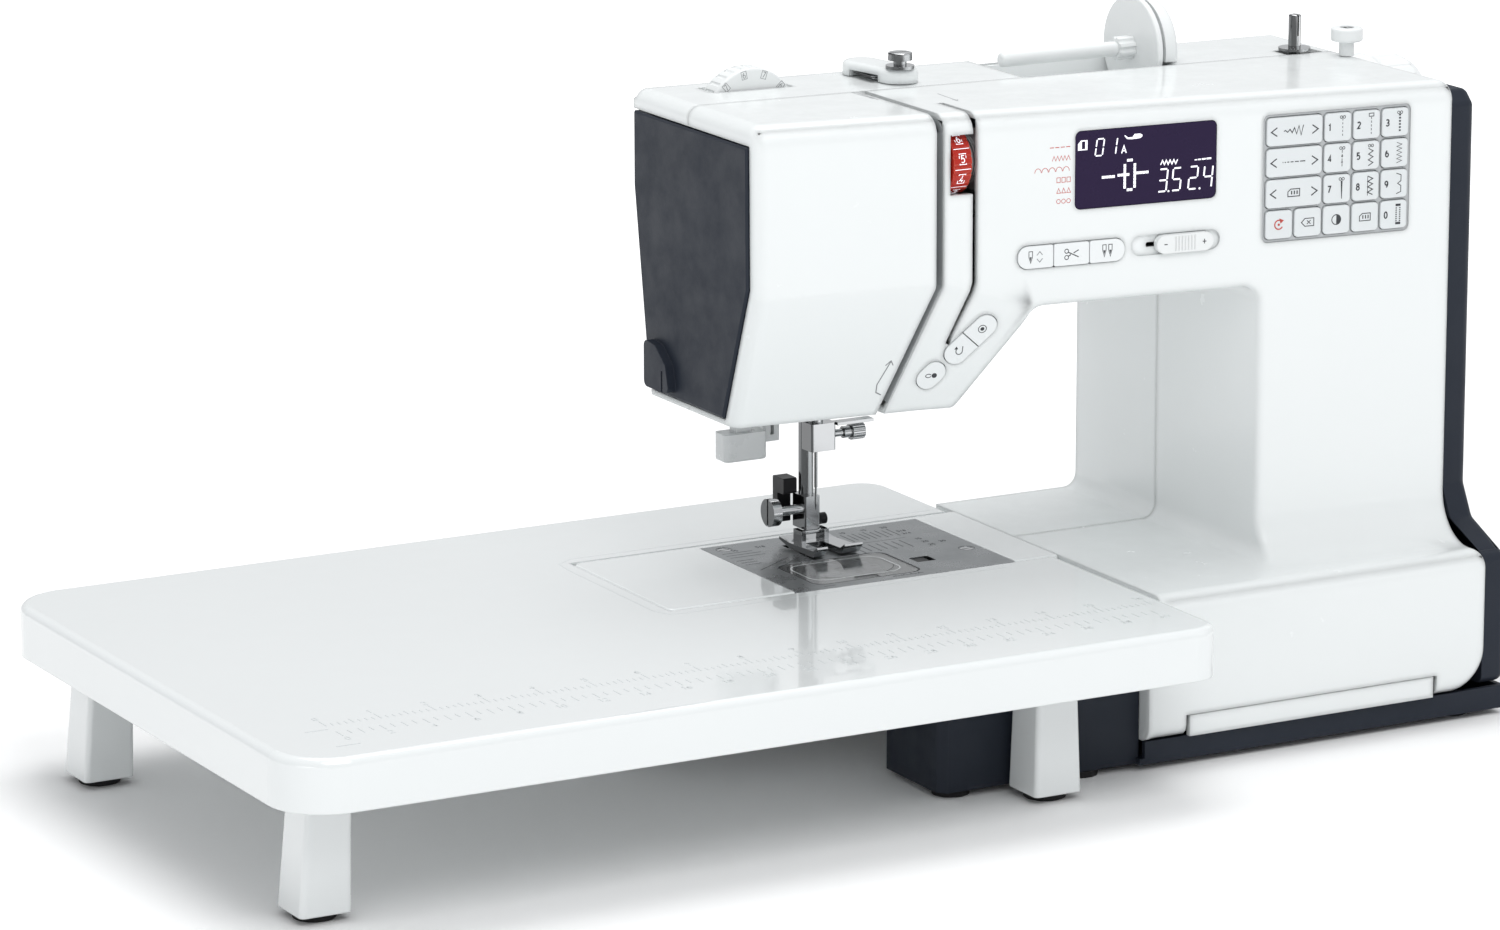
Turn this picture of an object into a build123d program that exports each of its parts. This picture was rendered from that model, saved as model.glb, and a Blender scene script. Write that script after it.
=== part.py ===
from build123d import *
import os
from math import atan, cos, sin, degrees, sqrt, radians

# Domestic free-arm sewing machine with a clip-on extension table, in millimetres.
# Working frame of this file: x to the handwheel side, y to the back, z up,
# with x = y = 0 on the needle's axis and z = 0 on the surface it stands on.
# Every piece is moved by (DX, DY, 0) when it is written, which puts the
# origin under the centre of the whole object's box.
os.makedirs("parts", exist_ok=True)

# ---------------------------------------------------------------- driving sizes
BED = 80.5            # height of the sewing bed and of the table's top
ARM_UNDER = 207.7     # underside of the arm
TOP_L, TOP_R = 299.5, 294.8   # top of the covers at the head's and at the column's end
HEAD_L = -79.0        # left side of the head
HEAD_UNDER = 160.5    # underside of the head
COL_L = 170.0         # left face of the column: sewing space right of the needle
COL_R = 271.0         # right side of the white covers
FRONT_AT_COL = -110.5 # arm's front face where it meets the column's left face
TAPER = 0.094         # the front face runs back towards the head
REAR = 47.5           # back of column and base
HEAD_REAR = 28.0      # back of the head
BASE_F = -155.0       # front of the base
BASE_L = 85.0         # left face of the base, low down
BASE_LT = 92.3        # left face of the base beside the table
BASE_Z = 14.0         # lower rim of the white base cover
SEAM = -24.0          # seam between front and rear covers
WALL = 2.8
CREASE = 222.0        # crease on the head's front
TAB = (-361.0, 91.5, -208.0, 106.0, 57.0)   # table: x0, x1, y0, y1, underside
ARM_BOX = (-111.0, 85.0, -64.0, 32.0, 22.0) # free arm: x0, x1, y0, y1, underside
SHAFT_Y, SHAFT_Z = -4.0, 262.0              # main shaft
LOW_Y, LOW_Z = -8.0, 44.0                   # lower shaft
MOT_Y, MOT_Z = -62.0, 128.0                 # motor
HOOK_X, HOOK_Y = -4.0, -30.0                # rotary hook, vertical axis
PB_X, PB_Y = 2.0, 13.0                      # presser bar
SP_Y, SP_Z = 2.0, 301.0                     # spool pin
WIND_X, WIND_Y = 248.0, -18.0               # bobbin winder
STROKE = 33.0                               # needle bar stroke
DX, DY = 19.5, 51.0

t_ang = atan(TAPER)
ct, st = cos(t_ang), sin(t_ang)


def front_y(x):
    return FRONT_AT_COL - TAPER * (x - COL_L)


# plane on the arm's front face: local x along the face, local y up, z out
FACE = Plane(origin=(COL_L, FRONT_AT_COL, 0), x_dir=(ct, -st, 0), z_dir=(-st, -ct, 0))


def u_of(x):
    return (x - COL_L) / ct


# ---------------------------------------------------------------- small helpers
def blk(x0, x1, y0, y1, z0, z1, mode=Mode.ADD):
    with Locations(((x0 + x1) / 2, (y0 + y1) / 2, (z0 + z1) / 2)):
        return Box(x1 - x0, y1 - y0, z1 - z0, mode=mode)


def rod_x(x0, x1, y, z, r, mode=Mode.ADD):
    with Locations(Location(((x0 + x1) / 2, y, z), (0, 90, 0))):
        return Cylinder(r, x1 - x0, mode=mode)


def rod_y(y0, y1, x, z, r, mode=Mode.ADD):
    with Locations(Location((x, (y0 + y1) / 2, z), (90, 0, 0))):
        return Cylinder(r, y1 - y0, mode=mode)


def rod_z(z0, z1, x, y, r, mode=Mode.ADD):
    with Locations((x, y, (z0 + z1) / 2)):
        return Cylinder(r, z1 - z0, mode=mode)


def prism_y(pts, y0, y1, mode=Mode.ADD):
    with BuildSketch(Plane.XZ.offset(-y1)) as sk:
        with BuildLine():
            Polyline(*pts, close=True)
        make_face()
    extrude(sk.sketch, amount=y1 - y0, mode=mode)


def prism_x(pts, x0, x1, mode=Mode.ADD):
    with BuildSketch(Plane.YZ.offset(x0)) as sk:
        with BuildLine():
            Polyline(*pts, close=True)
        make_face()
    extrude(sk.sketch, amount=x1 - x0, mode=mode)


def prism_z(pts, z0, z1, mode=Mode.ADD):
    with BuildSketch(Plane.XY.offset(z0)) as sk:
        with BuildLine():
            Polyline(*pts, close=True)
        make_face()
    extrude(sk.sketch, amount=z1 - z0, mode=mode)


def rr_z(x0, x1, y0, y1, z0, z1, r, mode=Mode.ADD):
    with BuildSketch(Plane.XY.offset(z0)) as sk:
        with Locations(((x0 + x1) / 2, (y0 + y1) / 2)):
            RectangleRounded(x1 - x0, y1 - y0, r)
    extrude(sk.sketch, amount=z1 - z0, mode=mode)


def face_rr(u0, u1, z0, z1, r, n0, n1, mode=Mode.ADD):
    """Rounded rectangle on the arm's front face, from depth n0 to n1 (out is +)."""
    with BuildSketch(FACE.offset(n0)) as sk:
        with Locations(((u0 + u1) / 2, (z0 + z1) / 2)):
            RectangleRounded(u1 - u0, z1 - z0, r)
    extrude(sk.sketch, amount=n1 - n0, mode=mode)


def keep(builder, name):
    p = builder.part.moved(Location((DX, DY, 0)))
    p.label = name
    export_step(p, "parts/" + name + ".step")
    print(name, len(p.solids()), round(p.volume, 1))


def near(edges, **k):
    out = []
    for e in edges:
        c = e.center()
        ok = True
        for a, (lo, hi) in k.items():
            v = {"X": c.X, "Y": c.Y, "Z": c.Z, "L": e.length}[a]
            ok = ok and lo <= v <= hi
        if ok:
            out.append(e)
    return out


# ---------------------------------------------------------------- body form
# facet planes on the head's lower front
FA = Vector(HEAD_L, front_y(HEAD_L), CREASE)
FB = Vector(12.0, front_y(12.0), CREASE)
FC = Vector(12.0, front_y(12.0) + 20.5, HEAD_UNDER)
FD = Vector(57.0, front_y(57.0), ARM_UNDER)


def plane3(a, b, c):
    n = (b - a).cross(c - a).normalized()
    if n.Y > 0:
        n = n * -1
    return Plane(origin=a, x_dir=(b - a).normalized(), z_dir=n)


BACKCUT = plane3(Vector(HEAD_L, 12, HEAD_UNDER), Vector(HEAD_L, 28, 255), Vector(-12, 28, HEAD_UNDER))
BACKCUT = Plane(origin=BACKCUT.origin, x_dir=BACKCUT.x_dir, z_dir=BACKCUT.z_dir * -1)
FACET1 = plane3(FA, FB, FC)   # left of the take-up slot
FACET2 = plane3(FB, FD, FC)   # right of it, carries the three sewing buttons


def form(t):
    """Closed outer form of head, arm, column and base, inset by t."""
    with BuildPart() as cut1:
        prism_y([(-95, CREASE + 3), (12, CREASE + 3), (12, 140), (-95, 140)], -130, -40)
        split(bisect_by=FACET1.offset(-t), keep=Keep.TOP)
    with BuildPart() as cut2:
        prism_y([(12, CREASE + 3), (62, CREASE + 3), (62, 140), (12, 140)], -130, -40)
        split(bisect_by=FACET2.offset(-t), keep=Keep.TOP)
    with BuildPart() as cut3:
        prism_y([(-95, 258), (-2, 258), (-2, 140), (-95, 140)], 0, 60)
        split(bisect_by=BACKCUT.offset(-t), keep=Keep.TOP)
    with BuildPart() as body:
        zb = 70 if t else BED - 6
        prism_y([(HEAD_L + t, TOP_L - t), (COL_R - t, TOP_R - t), (COL_R - t, zb), (COL_L + t, zb),
                 (COL_L + t, ARM_UNDER + t), (57 - 0.549 * t, ARM_UNDER + t),
                 (27 - 0.549 * t, HEAD_UNDER + t), (HEAD_L + t, HEAD_UNDER + t)], -135, 60)
        prism_z([(-90, front_y(-90) + t / ct), (280, front_y(280) + t / ct), (280, REAR - t),
                 (112 + t * 0.2, REAR - t), (62 + t * 0.2, HEAD_REAR - t), (-90, HEAD_REAR - t)],
                60, 300, mode=Mode.INTERSECT)
        prism_x([(26 - t, TOP_L - 3.4), (REAR + 2, 283 - t), (60, 283), (60, 310), (26 - t, 310)],
                -95, 285, mode=Mode.SUBTRACT)
        add(cut3.part, mode=Mode.SUBTRACT)
        add(cut1.part, mode=Mode.SUBTRACT)
        add(cut2.part, mode=Mode.SUBTRACT)
        blk(BASE_LT + t, COL_R - t, BASE_F + t, REAR - t, (10 if t else 50), BED - t)
        blk(BASE_L + t, COL_R - t, BASE_F + t, REAR - t, (10 if t else BASE_Z), 56 - t)
    return body


outer = form(0)
inner = form(WALL)

# soften the outer form
with BuildPart() as outer_s:
    add(outer.part)
    # the column's front and left faces run into the base with broad hollows
    fillet(near(outer_s.edges(), Z=(BED - .1, BED + .1), Y=(-122, -105), L=(60, 140)), 22)
    fillet(near(outer_s.edges(), Z=(BED - .1, BED + .1), X=(COL_L - .1, COL_L + .1), L=(60, 200)), 7)
    fillet(near(outer_s.edges(), Z=(290, 300), Y=(-125, -80), L=(200, 500)), 9)
    fillet(near(outer_s.edges(), Y=(BASE_F - .1, BASE_F + .1), Z=(BED - .1, BED + .1), L=(100, 300)), 9)
    fillet(near(outer_s.edges(), X=(COL_R - .2, COL_R + .2), Z=(BASE_Z - .1, BASE_Z + .1), L=(100, 250)), 20)
    fillet(near(outer_s.edges(), X=(COL_L - 8, COL_L + .2), Z=(ARM_UNDER - .1, ARM_UNDER + .1), Y=(-60, 0), L=(60, 300)), 8)
    fillet(near(outer_s.edges(), X=(56, 58), Z=(ARM_UNDER - .1, ARM_UNDER + .1), L=(60, 300)), 10)
    fillet(near(outer_s.edges(), X=(26, 28), Z=(HEAD_UNDER - .1, HEAD_UNDER + .1), L=(60, 300)), 4)
    fillet(near(outer_s.edges(), X=(HEAD_L - .2, HEAD_L + .2), Y=(-95, -62), Z=(165, 286), L=(20, 140)), 6)
    fillet(near(outer_s.edges(), X=(COL_R - .2, COL_R + .2), Y=(-122, -118), Z=(90, 286), L=(60, 240)), 7)
    fillet(near(outer_s.edges(), Z=(ARM_UNDER - .1, ARM_UNDER + .1), Y=(-112, -95), L=(60, 140)), 3)

with BuildPart() as shell:
    add(outer_s.part)
    add(inner.part, mode=Mode.SUBTRACT)
print("shell", shell.part.is_valid, shell.part.volume, len(shell.part.solids()))

# ---------------------------------------------------------------- openings shared by the covers
LCD = (-94.5, -23.1, 250.5, 286.5)
PAD = (0.5, 76.5, 227.4, 286.6)
AB = (-123.0, -69.0, 225.3, 236.3)       # three arm buttons
SL = (-66.0, -21.0, 226.8, 236.2)        # speed slider recess


def on_facet(x, z):
    n = FACET2.z_dir
    o = FACET2.origin
    y = o.Y - (n.X * (x - o.X) + n.Z * (z - o.Z)) / n.Y
    return Vector(x, y, z)


def facet_plane(x, z):
    d = Vector(20, 0, 23.5)
    n = FACET2.z_dir
    d = (d - n * d.dot(n)).normalized()
    return Plane(origin=on_facet(x, z), x_dir=d, z_dir=n)


FP_PILL = facet_plane(29.1, 194.1)
FP_SEC = facet_plane(13.6, 177.6)


def facet_pill(plane, l, w, r, n0, n1, du=0.0, mode=Mode.ADD):
    with BuildSketch(plane.offset(n0)) as sk:
        with Locations((du, 0)):
            RectangleRounded(l, w, r)
    extrude(sk.sketch, amount=n1 - n0, mode=mode)


DIAL = (-32.0, 286.0, 22.5)     # pressure dial: x, z of its axis, radius
TRAY = (96.0, 178.0, -24.0, 28.5, 274.0)

with BuildPart() as head_cover:
    add(shell.part)
    prism_y([(-95, 310), (8, 310), (8, 220), (-11.2, 157), (-95, 157)], -140, SEAM - 0.0, mode=Mode.INTERSECT)
    # window for the dark side panel
    prism_x([(-81, 290.5), (40, 290.5), (40, 162.9), (-58.5, 162.9), (-81.5, 226)], -85, -70, mode=Mode.SUBTRACT)
keep(head_cover, "head_cover")

with BuildPart() as front_cover:
    add(shell.part)
    prism_y([(12, 310), (285, 310), (285, 5), (80, 5), (80, 157), (-7.2, 157), (12, 220)], -160, SEAM, mode=Mode.INTERSECT)
    face_rr(LCD[0], LCD[1], LCD[2], LCD[3], 3, -6, 3, mode=Mode.SUBTRACT)
    face_rr(PAD[0], PAD[1], PAD[2], PAD[3], 3, -6, 3, mode=Mode.SUBTRACT)
    face_rr(AB[0], AB[1], AB[2], AB[3], 5.2, -6, 3, mode=Mode.SUBTRACT)
    face_rr(SL[0], SL[1], SL[2], SL[3], 4.6, -1.3, 3, mode=Mode.SUBTRACT)
    face_rr(SL[0] + 8, SL[1] - 8, 230.4, 232.6, 1, -6, 3, mode=Mode.SUBTRACT)
    facet_pill(FP_PILL, 29.7, 11.7, 5.6, -7, 4, mode=Mode.SUBTRACT)
    facet_pill(FP_SEC, 15.4, 11.2, 5.4, -7, 4, mode=Mode.SUBTRACT)
    # thread slot right of the tension dial, and the dial's window
    prism_y([(25.6, 310), (28.2, 310), (28.2, 221), (19.4, 192), (17.6, 193), (25.6, 222)], -135, -66, mode=Mode.SUBTRACT)
    blk(14.6, 26.5, -135, -70, 262, 289.2, mode=Mode.SUBTRACT)
    # spool tray and winder openings in the top
    blk(TRAY[0] - .2, TRAY[1] + .2, TRAY[2] - .2, SEAM + 1, 280, 310, mode=Mode.SUBTRACT)
    blk(WIND_X - 8, WIND_X + 12, WIND_Y - 6, WIND_Y + 6, 285, 300, mode=Mode.SUBTRACT)
    # the free arm's way through the left face of the base
    blk(84, 96, -61.4, SEAM + 1, 24.6, BED - WALL, mode=Mode.SUBTRACT)
    # recess for the slide-out reference card tray
    blk(105, 242, -160, -60, 13, 24.6, mode=Mode.SUBTRACT)
keep(front_cover, "front_cover")

with BuildPart() as rear_cover:
    add(shell.part)
    blk(-95, 285, SEAM, 60, 5, 310, mode=Mode.INTERSECT)
    prism_x([(-81, 290.5), (40, 290.5), (40, 162.9), (-58.5, 162.9), (-81.5, 226)], -85, -70, mode=Mode.SUBTRACT)
    # head floor: needle and presser bars, threader stem, buttonhole lever
    blk(-19, 15, -11, 20.5, 150, 165, mode=Mode.SUBTRACT)
    blk(-53, -37, -17, -3, 150, 165, mode=Mode.SUBTRACT)
    blk(-32, -19, -7, 5, 150, 165, mode=Mode.SUBTRACT)
    # pressure dial slot, spool tray, winder
    blk(-52.8, -11.2, 0.8, 15.2, 288, 310, mode=Mode.SUBTRACT)
    blk(TRAY[0] - .2, TRAY[1] + .2, SEAM - 1, TRAY[3] + .2, 280, 310, mode=Mode.SUBTRACT)
    blk(WIND_X - 8, WIND_X + 12, WIND_Y - 7, WIND_Y + 6, 285, 300, mode=Mode.SUBTRACT)
    rod_y(20, 50, 20, 190, 3.4, mode=Mode.SUBTRACT)
    # the free arm's way through the left face of the base, and the shaft hole
    blk(84, 96, SEAM - 1, 29.4, 24.6, BED - WALL, mode=Mode.SUBTRACT)
    rod_x(265, 275, SHAFT_Y, SHAFT_Z, 7, mode=Mode.SUBTRACT)
    # carrying handle's hollow in the back, closed by its own floor
    blk(115.2, 234.8, 37.6, 45.6, 233.6, 264.4)
    blk(118, 232, 40, 60, 236, 262, mode=Mode.SUBTRACT)
    rod_x(115, 235, 44.4, 257, 1.66, mode=Mode.SUBTRACT)
keep(rear_cover, "rear_cover")

# ---------------------------------------------------------------- dark covers and base
with BuildPart() as thread_cutter:
    with BuildSketch(Plane.YZ.offset(-84.6)) as sk_tc:
        with BuildLine():
            Polyline((9, 166), (9, 188), (-2, 186.5), (-11.5, 179), (-15, 166), close=True)
        make_face()
    extrude(sk_tc.sketch, amount=4.4)
    fillet(near(thread_cutter.edges(), X=(-83, -82), L=(4, 4.6)), 3)
    blk(-85, -83, -9, -7.6, 160, 176, mode=Mode.SUBTRACT)

# side panel, with the little thread cutter hood standing on its lower back corner
with BuildPart() as left_side_cover:
    prism_x([(-80.4, 289.8), (25.6, 289.8), (25.6, 256), (11.6, 163.6), (-58.2, 163.6), (-80.9, 226)], -80.4, -76.6)
    chamfer(near(left_side_cover.edges(), X=(-80.5, -80.3)), 0.8)
    add(thread_cutter.part)
keep(left_side_cover, "left_side_cover")

with BuildPart() as right_side_cover:
    with BuildSketch(Plane.YZ.offset(COL_R + .2)) as sk_rs:
        with BuildLine():
            Polyline((-149, 15), (47, 15), (47, 282), (30, 289), (-108, 289), (-114, 283),
                     (-114, 103), (-121, 89), (-149, 76), close=True)
        make_face()
        fillet(sk_rs.vertices(), 4)
    extrude(sk_rs.sketch, amount=14)
    fillet(near(right_side_cover.edges(), X=(285.1, 285.3)), 5)
    with BuildSketch(Plane.YZ.offset(COL_R)) as sk_ri:
        with BuildLine():
            Polyline((-146, 18), (44, 18), (44, 280), (29, 286), (-107, 286), (-111, 282),
                     (-111, 104), (-118, 91), (-146, 79), close=True)
        make_face()
        offset(amount=-1.5, kind=Kind.INTERSECTION)
    extrude(sk_ri.sketch, amount=11.4, mode=Mode.SUBTRACT)
    rod_x(270, 290, SHAFT_Y, SHAFT_Z, 7, mode=Mode.SUBTRACT)
    blk(270, 290, 1, 25, 22, 40, mode=Mode.SUBTRACT)      # inlet
    blk(270, 290, 3, 23, 46, 64, mode=Mode.SUBTRACT)      # switch
keep(right_side_cover, "right_side_cover")

with BuildPart() as base_pan:
    blk(83, 283, -151, 47, 3, 5.8)
    blk(85.6, 283, -151, -148.5, 3, 13.8)
    blk(85.6, 283, 44.5, 47, 3, 13.8)
    blk(280.5, 283, -151, 47, 3, 13.8)
    blk(62, 88, 8, 47, 3, 5.8)
    prism_z([(-19, -143), (-15, -147), (84.6, -147), (84.6, -95), (-15, -95), (-19, -99)], 3, 50)
    prism_z([(-16.4, -142), (-14, -144.4), (82, -144.4), (82, -97.6), (-14, -97.6), (-16.4, -100)], 5.8, 51, mode=Mode.SUBTRACT)
keep(base_pan, "base_pan")

FEET = [(-8, -137), (58, -139), (262, -136), (262, 34), (74, 38)]
with BuildPart() as rubber_feet:
    for fx, fy in FEET:
        rod_z(0, 3, fx, fy, 8.5)
        rod_z(2.9, 5.8 - 2.8 + 0.0, fx, fy, 5)
keep(rubber_feet, "rubber_feet")

with BuildPart() as card_tray:
    blk(107, 240, -154.8, -152.2, 14.4, 24.2)
    blk(109, 238, -152.2, -64, 15, 16.6)
    blk(109, 111, -152.2, -64, 15, 18.6)
    blk(236, 238, -152.2, -64, 15, 18.6)
    blk(109, 238, -66, -64, 15, 18.6)
keep(card_tray, "reference_card_tray")

# ---------------------------------------------------------------- free arm, needle plate, hook
AX0, AX1, AY0, AY1, AZ0 = ARM_BOX
with BuildPart() as free_arm_cover:
    rr_z(AX0, AX1 - .3, AY0, AY1, AZ0, BED, 5)
    blk(40, AX1 - .3, AY0, AY1, AZ0, BED)
    blk(60, BASE_LT - .3, AY0, AY1, 56.3, BED)
    fillet(near(free_arm_cover.edges(), Z=(BED - .1, BED + .1), X=(AX0 - 1, AX0 + 1)), 1.6)
    rr_z(AX0 + 2.6, AX1 + 25, AY0 + 2.6, AY1 - 2.6, AZ0 + 2.6, BED - 2.6, 2.6, mode=Mode.SUBTRACT)
    blk(-46.4, 69, AY0 - 1, 27.2, BED - 5, BED + 1, mode=Mode.SUBTRACT)
    blk(24, 46, 25, 40, 36, 48, mode=Mode.SUBTRACT)     # drop feed lever slot
keep(free_arm_cover, "free_arm_cover")

with BuildPart() as needle_plate:
    blk(-46, 68.6, AY0 - .9, 26.8, BED - 1.8, BED)
    rr_z(-32.4, 24.4, -58.4, -17.6, BED - 3, BED + 1, 6, mode=Mode.SUBTRACT)   # bobbin cover
    rr_z(29, 39, -44, -35, BED - 3, BED + 1, 0.8, mode=Mode.SUBTRACT)          # latch
    rr_z(-3.5, 3.5, -1.1, 1.1, BED - 3, BED + 1, 1, mode=Mode.SUBTRACT)        # needle hole
    rr_z(-10.6, -4.5, -5.6, 13.4, BED - 3, BED + 1, 0.6, mode=Mode.SUBTRACT)   # feed slots
    rr_z(4.5, 10.6, -5.6, 13.4, BED - 3, BED + 1, 0.6, mode=Mode.SUBTRACT)
    for px_, py_ in ((-37.5, 20), (62.0, -32.0)):
        rod_z(BED - 3, BED + 1, px_, py_, 3.3, mode=Mode.SUBTRACT)
keep(needle_plate, "needle_plate")

with BuildPart() as plate_screws:
    for px_, py_ in ((-37.5, 20), (62.0, -32.0)):
        rod_z(BED - 1.8, BED - .2, px_, py_, 3.25)
        rod_z(BED - 7, BED - 1.8, px_, py_, 1.6)
        blk(px_ - 2.6, px_ + 2.6, py_ - .4, py_ + .4, BED - 1.1, BED, mode=Mode.SUBTRACT)

with BuildPart() as bobbin_cover:
    rr_z(-32.1, 24.1, -58.1, -17.9, BED - 1.7, BED - .1, 5.8)
    rr_z(-10, 2, -57, -52, BED - .6, BED + .2, 2, mode=Mode.SUBTRACT)
keep(bobbin_cover, "bobbin_cover")

with BuildPart() as bobbin_latch:
    rr_z(29.4, 36.4, -43.6, -35.4, BED - 2.6, BED - .5, 0.8)
keep(bobbin_latch, "bobbin_cover_latch")

with BuildPart() as hook:
    rod_z(55, 74, HOOK_X, HOOK_Y, 24)
    rod_z(58, 75, HOOK_X, HOOK_Y, 21.8, mode=Mode.SUBTRACT)
    rod_z(34.3, 55, HOOK_X, HOOK_Y, 4)
    rod_z(38, 47, HOOK_X, HOOK_Y, 10)
    blk(HOOK_X + 14, HOOK_X + 25, HOOK_Y - 4, HOOK_Y + 4, 70, 75, mode=Mode.SUBTRACT)
keep(hook, "rotary_hook")

with BuildPart() as bobbin_case:
    rod_z(58.6, 76, HOOK_X, HOOK_Y, 21.2)
    rod_z(61, 77, HOOK_X, HOOK_Y, 11.4, mode=Mode.SUBTRACT)
    blk(HOOK_X - 20, HOOK_X - 8, HOOK_Y - 5, HOOK_Y + 5, 68, 77, mode=Mode.SUBTRACT)
    rod_z(61, 66, HOOK_X, HOOK_Y, 1.8)
keep(bobbin_case, "bobbin_case")

with BuildPart() as bobbin:
    rod_z(62, 63.1, HOOK_X, HOOK_Y, 10.4)
    rod_z(72.4, 73.5, HOOK_X, HOOK_Y, 10.4)
    rod_z(62, 73.5, HOOK_X, HOOK_Y, 3.6)
    rod_z(61, 74, HOOK_X, HOOK_Y, 1.9, mode=Mode.SUBTRACT)
    with Locations((HOOK_X, HOOK_Y, 0)):
        with PolarLocations(7, 6):
            Cylinder(1.1, 200, mode=Mode.SUBTRACT)
keep(bobbin, "bobbin")

with BuildPart() as feed_dog:
    blk(-10, 10, -3.6, 9.4, 68, 75.4)
    blk(-3, 3, -8, 4.2, 60, 80, mode=Mode.SUBTRACT)
    for rx in (-9.6, -6.9, 5.3, 8.0):
        blk(rx, rx + 1.6, -3.6, 9.4, 75.4, 80.1)
        with Locations([(rx + .8, -2.8 + 1.6 * i, 80.1) for i in range(8)]):
            Cylinder(0.45, 2.2, rotation=(0, 90, 0), mode=Mode.SUBTRACT)
keep(feed_dog, "feed_dog")

# ---------------------------------------------------------------- cast frame and shafts
with BuildPart() as chassis:
    blk(40, 262, 12, 18, 214, 268)
    blk(226, 262, 12, 18, 20, 268)
    blk(-80, 262, 12, 18, 26, 54)
    blk(-20, 26, 18, 23.6, 168, 284)
    blk(26, 60, 18, 23.6, 214, 284)
    # guides of needle bar and presser bar
    blk(-8, 4.6, -6, 8, 226, 234)
    blk(-5, 9, 8, 18, 226, 234)
    blk(-8, 9, -6, 18, 172, 180)
    rod_z(170, 240, 0, 0, 3.3, mode=Mode.SUBTRACT)
    rod_z(170, 240, PB_X, PB_Y, 3.56, mode=Mode.SUBTRACT)
    # shaft bearings
    blk(31, 39, -14, 18, 250, 274)
    blk(39, 44, 8, 18, 250, 268)
    blk(206, 214, -14, 12, 250, 274)
    blk(-46, -38, -18, 12, 36, 52)
    blk(206, 214, -18, 12, 36, 52)
    rod_x(20, 270, SHAFT_Y, SHAFT_Z, 5.05, mode=Mode.SUBTRACT)
    rod_x(-60, 270, LOW_Y, LOW_Z, 4.05, mode=Mode.SUBTRACT)
    # hook bearing on its arm
    blk(HOOK_X - 9, HOOK_X + 9, -39, 12, 27, 33.8)
    rod_z(20, 40, HOOK_X, HOOK_Y, 4.06, mode=Mode.SUBTRACT)
    # take-up lever bracket
    blk(24, 29, -44, 18, 242, 254)
    rod_x(20, 35, -38, 248, 2.56, mode=Mode.SUBTRACT)
    # presser lever's pivot bore
    rod_y(10, 30, 20, 190, 3.06, mode=Mode.SUBTRACT)
    # clearance round the pulleys
    rod_x(236, 264, SHAFT_Y, SHAFT_Z, 27, mode=Mode.SUBTRACT)
    # casting windows
    blk(60, 120, 5, 25, 226, 258, mode=Mode.SUBTRACT)
    blk(135, 195, 5, 25, 226, 258, mode=Mode.SUBTRACT)
    blk(234, 254, 5, 25, 80, 190, mode=Mode.SUBTRACT)

with BuildPart() as main_shaft:
    rod_x(20, 318, SHAFT_Y, SHAFT_Z, 5)
    rod_x(14.4, 20, SHAFT_Y, SHAFT_Z, 21)
    rod_x(8.4, 14.4, SHAFT_Y, SHAFT_Z + STROKE / 2, 3)
    blk(10, 22, SHAFT_Y - 30, SHAFT_Y - 8, SHAFT_Z + 2, SHAFT_Z + 30, mode=Mode.SUBTRACT)
    blk(10, 22, SHAFT_Y + 8, SHAFT_Y + 30, SHAFT_Z + 2, SHAFT_Z + 30, mode=Mode.SUBTRACT)

with BuildPart() as drive_pulley:
    rod_x(238, 250, SHAFT_Y, SHAFT_Z, 22)
    with Locations(Location((244, SHAFT_Y, SHAFT_Z), (0, 90, 0))):
        with PolarLocations(13, 5):
            Cylinder(4.5, 14, mode=Mode.SUBTRACT)
    rod_x(252, 262, SHAFT_Y, SHAFT_Z, 13)
    rod_x(249, 253, SHAFT_Y, SHAFT_Z, 9)
with BuildPart() as shaft:
    add(main_shaft.part)
    add(drive_pulley.part)
keep(shaft, "main_shaft")

with BuildPart() as handwheel:
    with BuildSketch(Plane.XY.offset(0)) as sk_hw:
        with BuildLine():
            # radius along x, width along y: turned about the wheel's axis
            Polyline((5, 0), (12, 0), (12, 6), (20, 6), (20, 0), (24.8, 0), (26, 3), (26, 10),
                     (24, 14), (24, 29), (21.5, 33.5), (5, 35), close=True)
        make_face()
    revolve(sk_hw.sketch, axis=Axis.Y)
hw = handwheel.part.rotate(Axis.Z, -90)
hw = hw.moved(Location((287, SHAFT_Y, SHAFT_Z)))
with BuildPart() as handwheel2:
    add(hw)
    with Locations(Location((287 + 22, SHAFT_Y, SHAFT_Z), (0, 90, 0))):
        with PolarLocations(25.1, 24):
            Cylinder(1.4, 14, mode=Mode.SUBTRACT)
keep(handwheel2, "handwheel")

with BuildPart() as lower_shaft:
    rod_x(-48, 264, LOW_Y, LOW_Z, 4)
    rod_x(-8, 2, LOW_Y, LOW_Z, 8.6)
    rod_x(252, 262, LOW_Y, LOW_Z, 13)
keep(lower_shaft, "lower_shaft")


def belt_loop(x0, x1, ay, az, ar, by, bz, br):
    with BuildPart() as b:
        for grow, m in ((2.2, Mode.ADD), (0.3, Mode.SUBTRACT)):
            with BuildSketch(Plane.YZ.offset(x0)) as sk:
                with Locations((ay, az)):
                    Circle(ar + grow)
                with Locations((by, bz)):
                    Circle(br + grow)
                make_hull()
            extrude(sk.sketch, amount=x1 - x0, mode=m)
    return b.part


with BuildPart() as belts:
    add(belt_loop(240.4, 247.6, SHAFT_Y, SHAFT_Z, 22, MOT_Y, MOT_Z, 8))
    add(belt_loop(253, 261, SHAFT_Y, SHAFT_Z, 13, LOW_Y, LOW_Z, 13))
keep(belts, "drive_belts")

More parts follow.
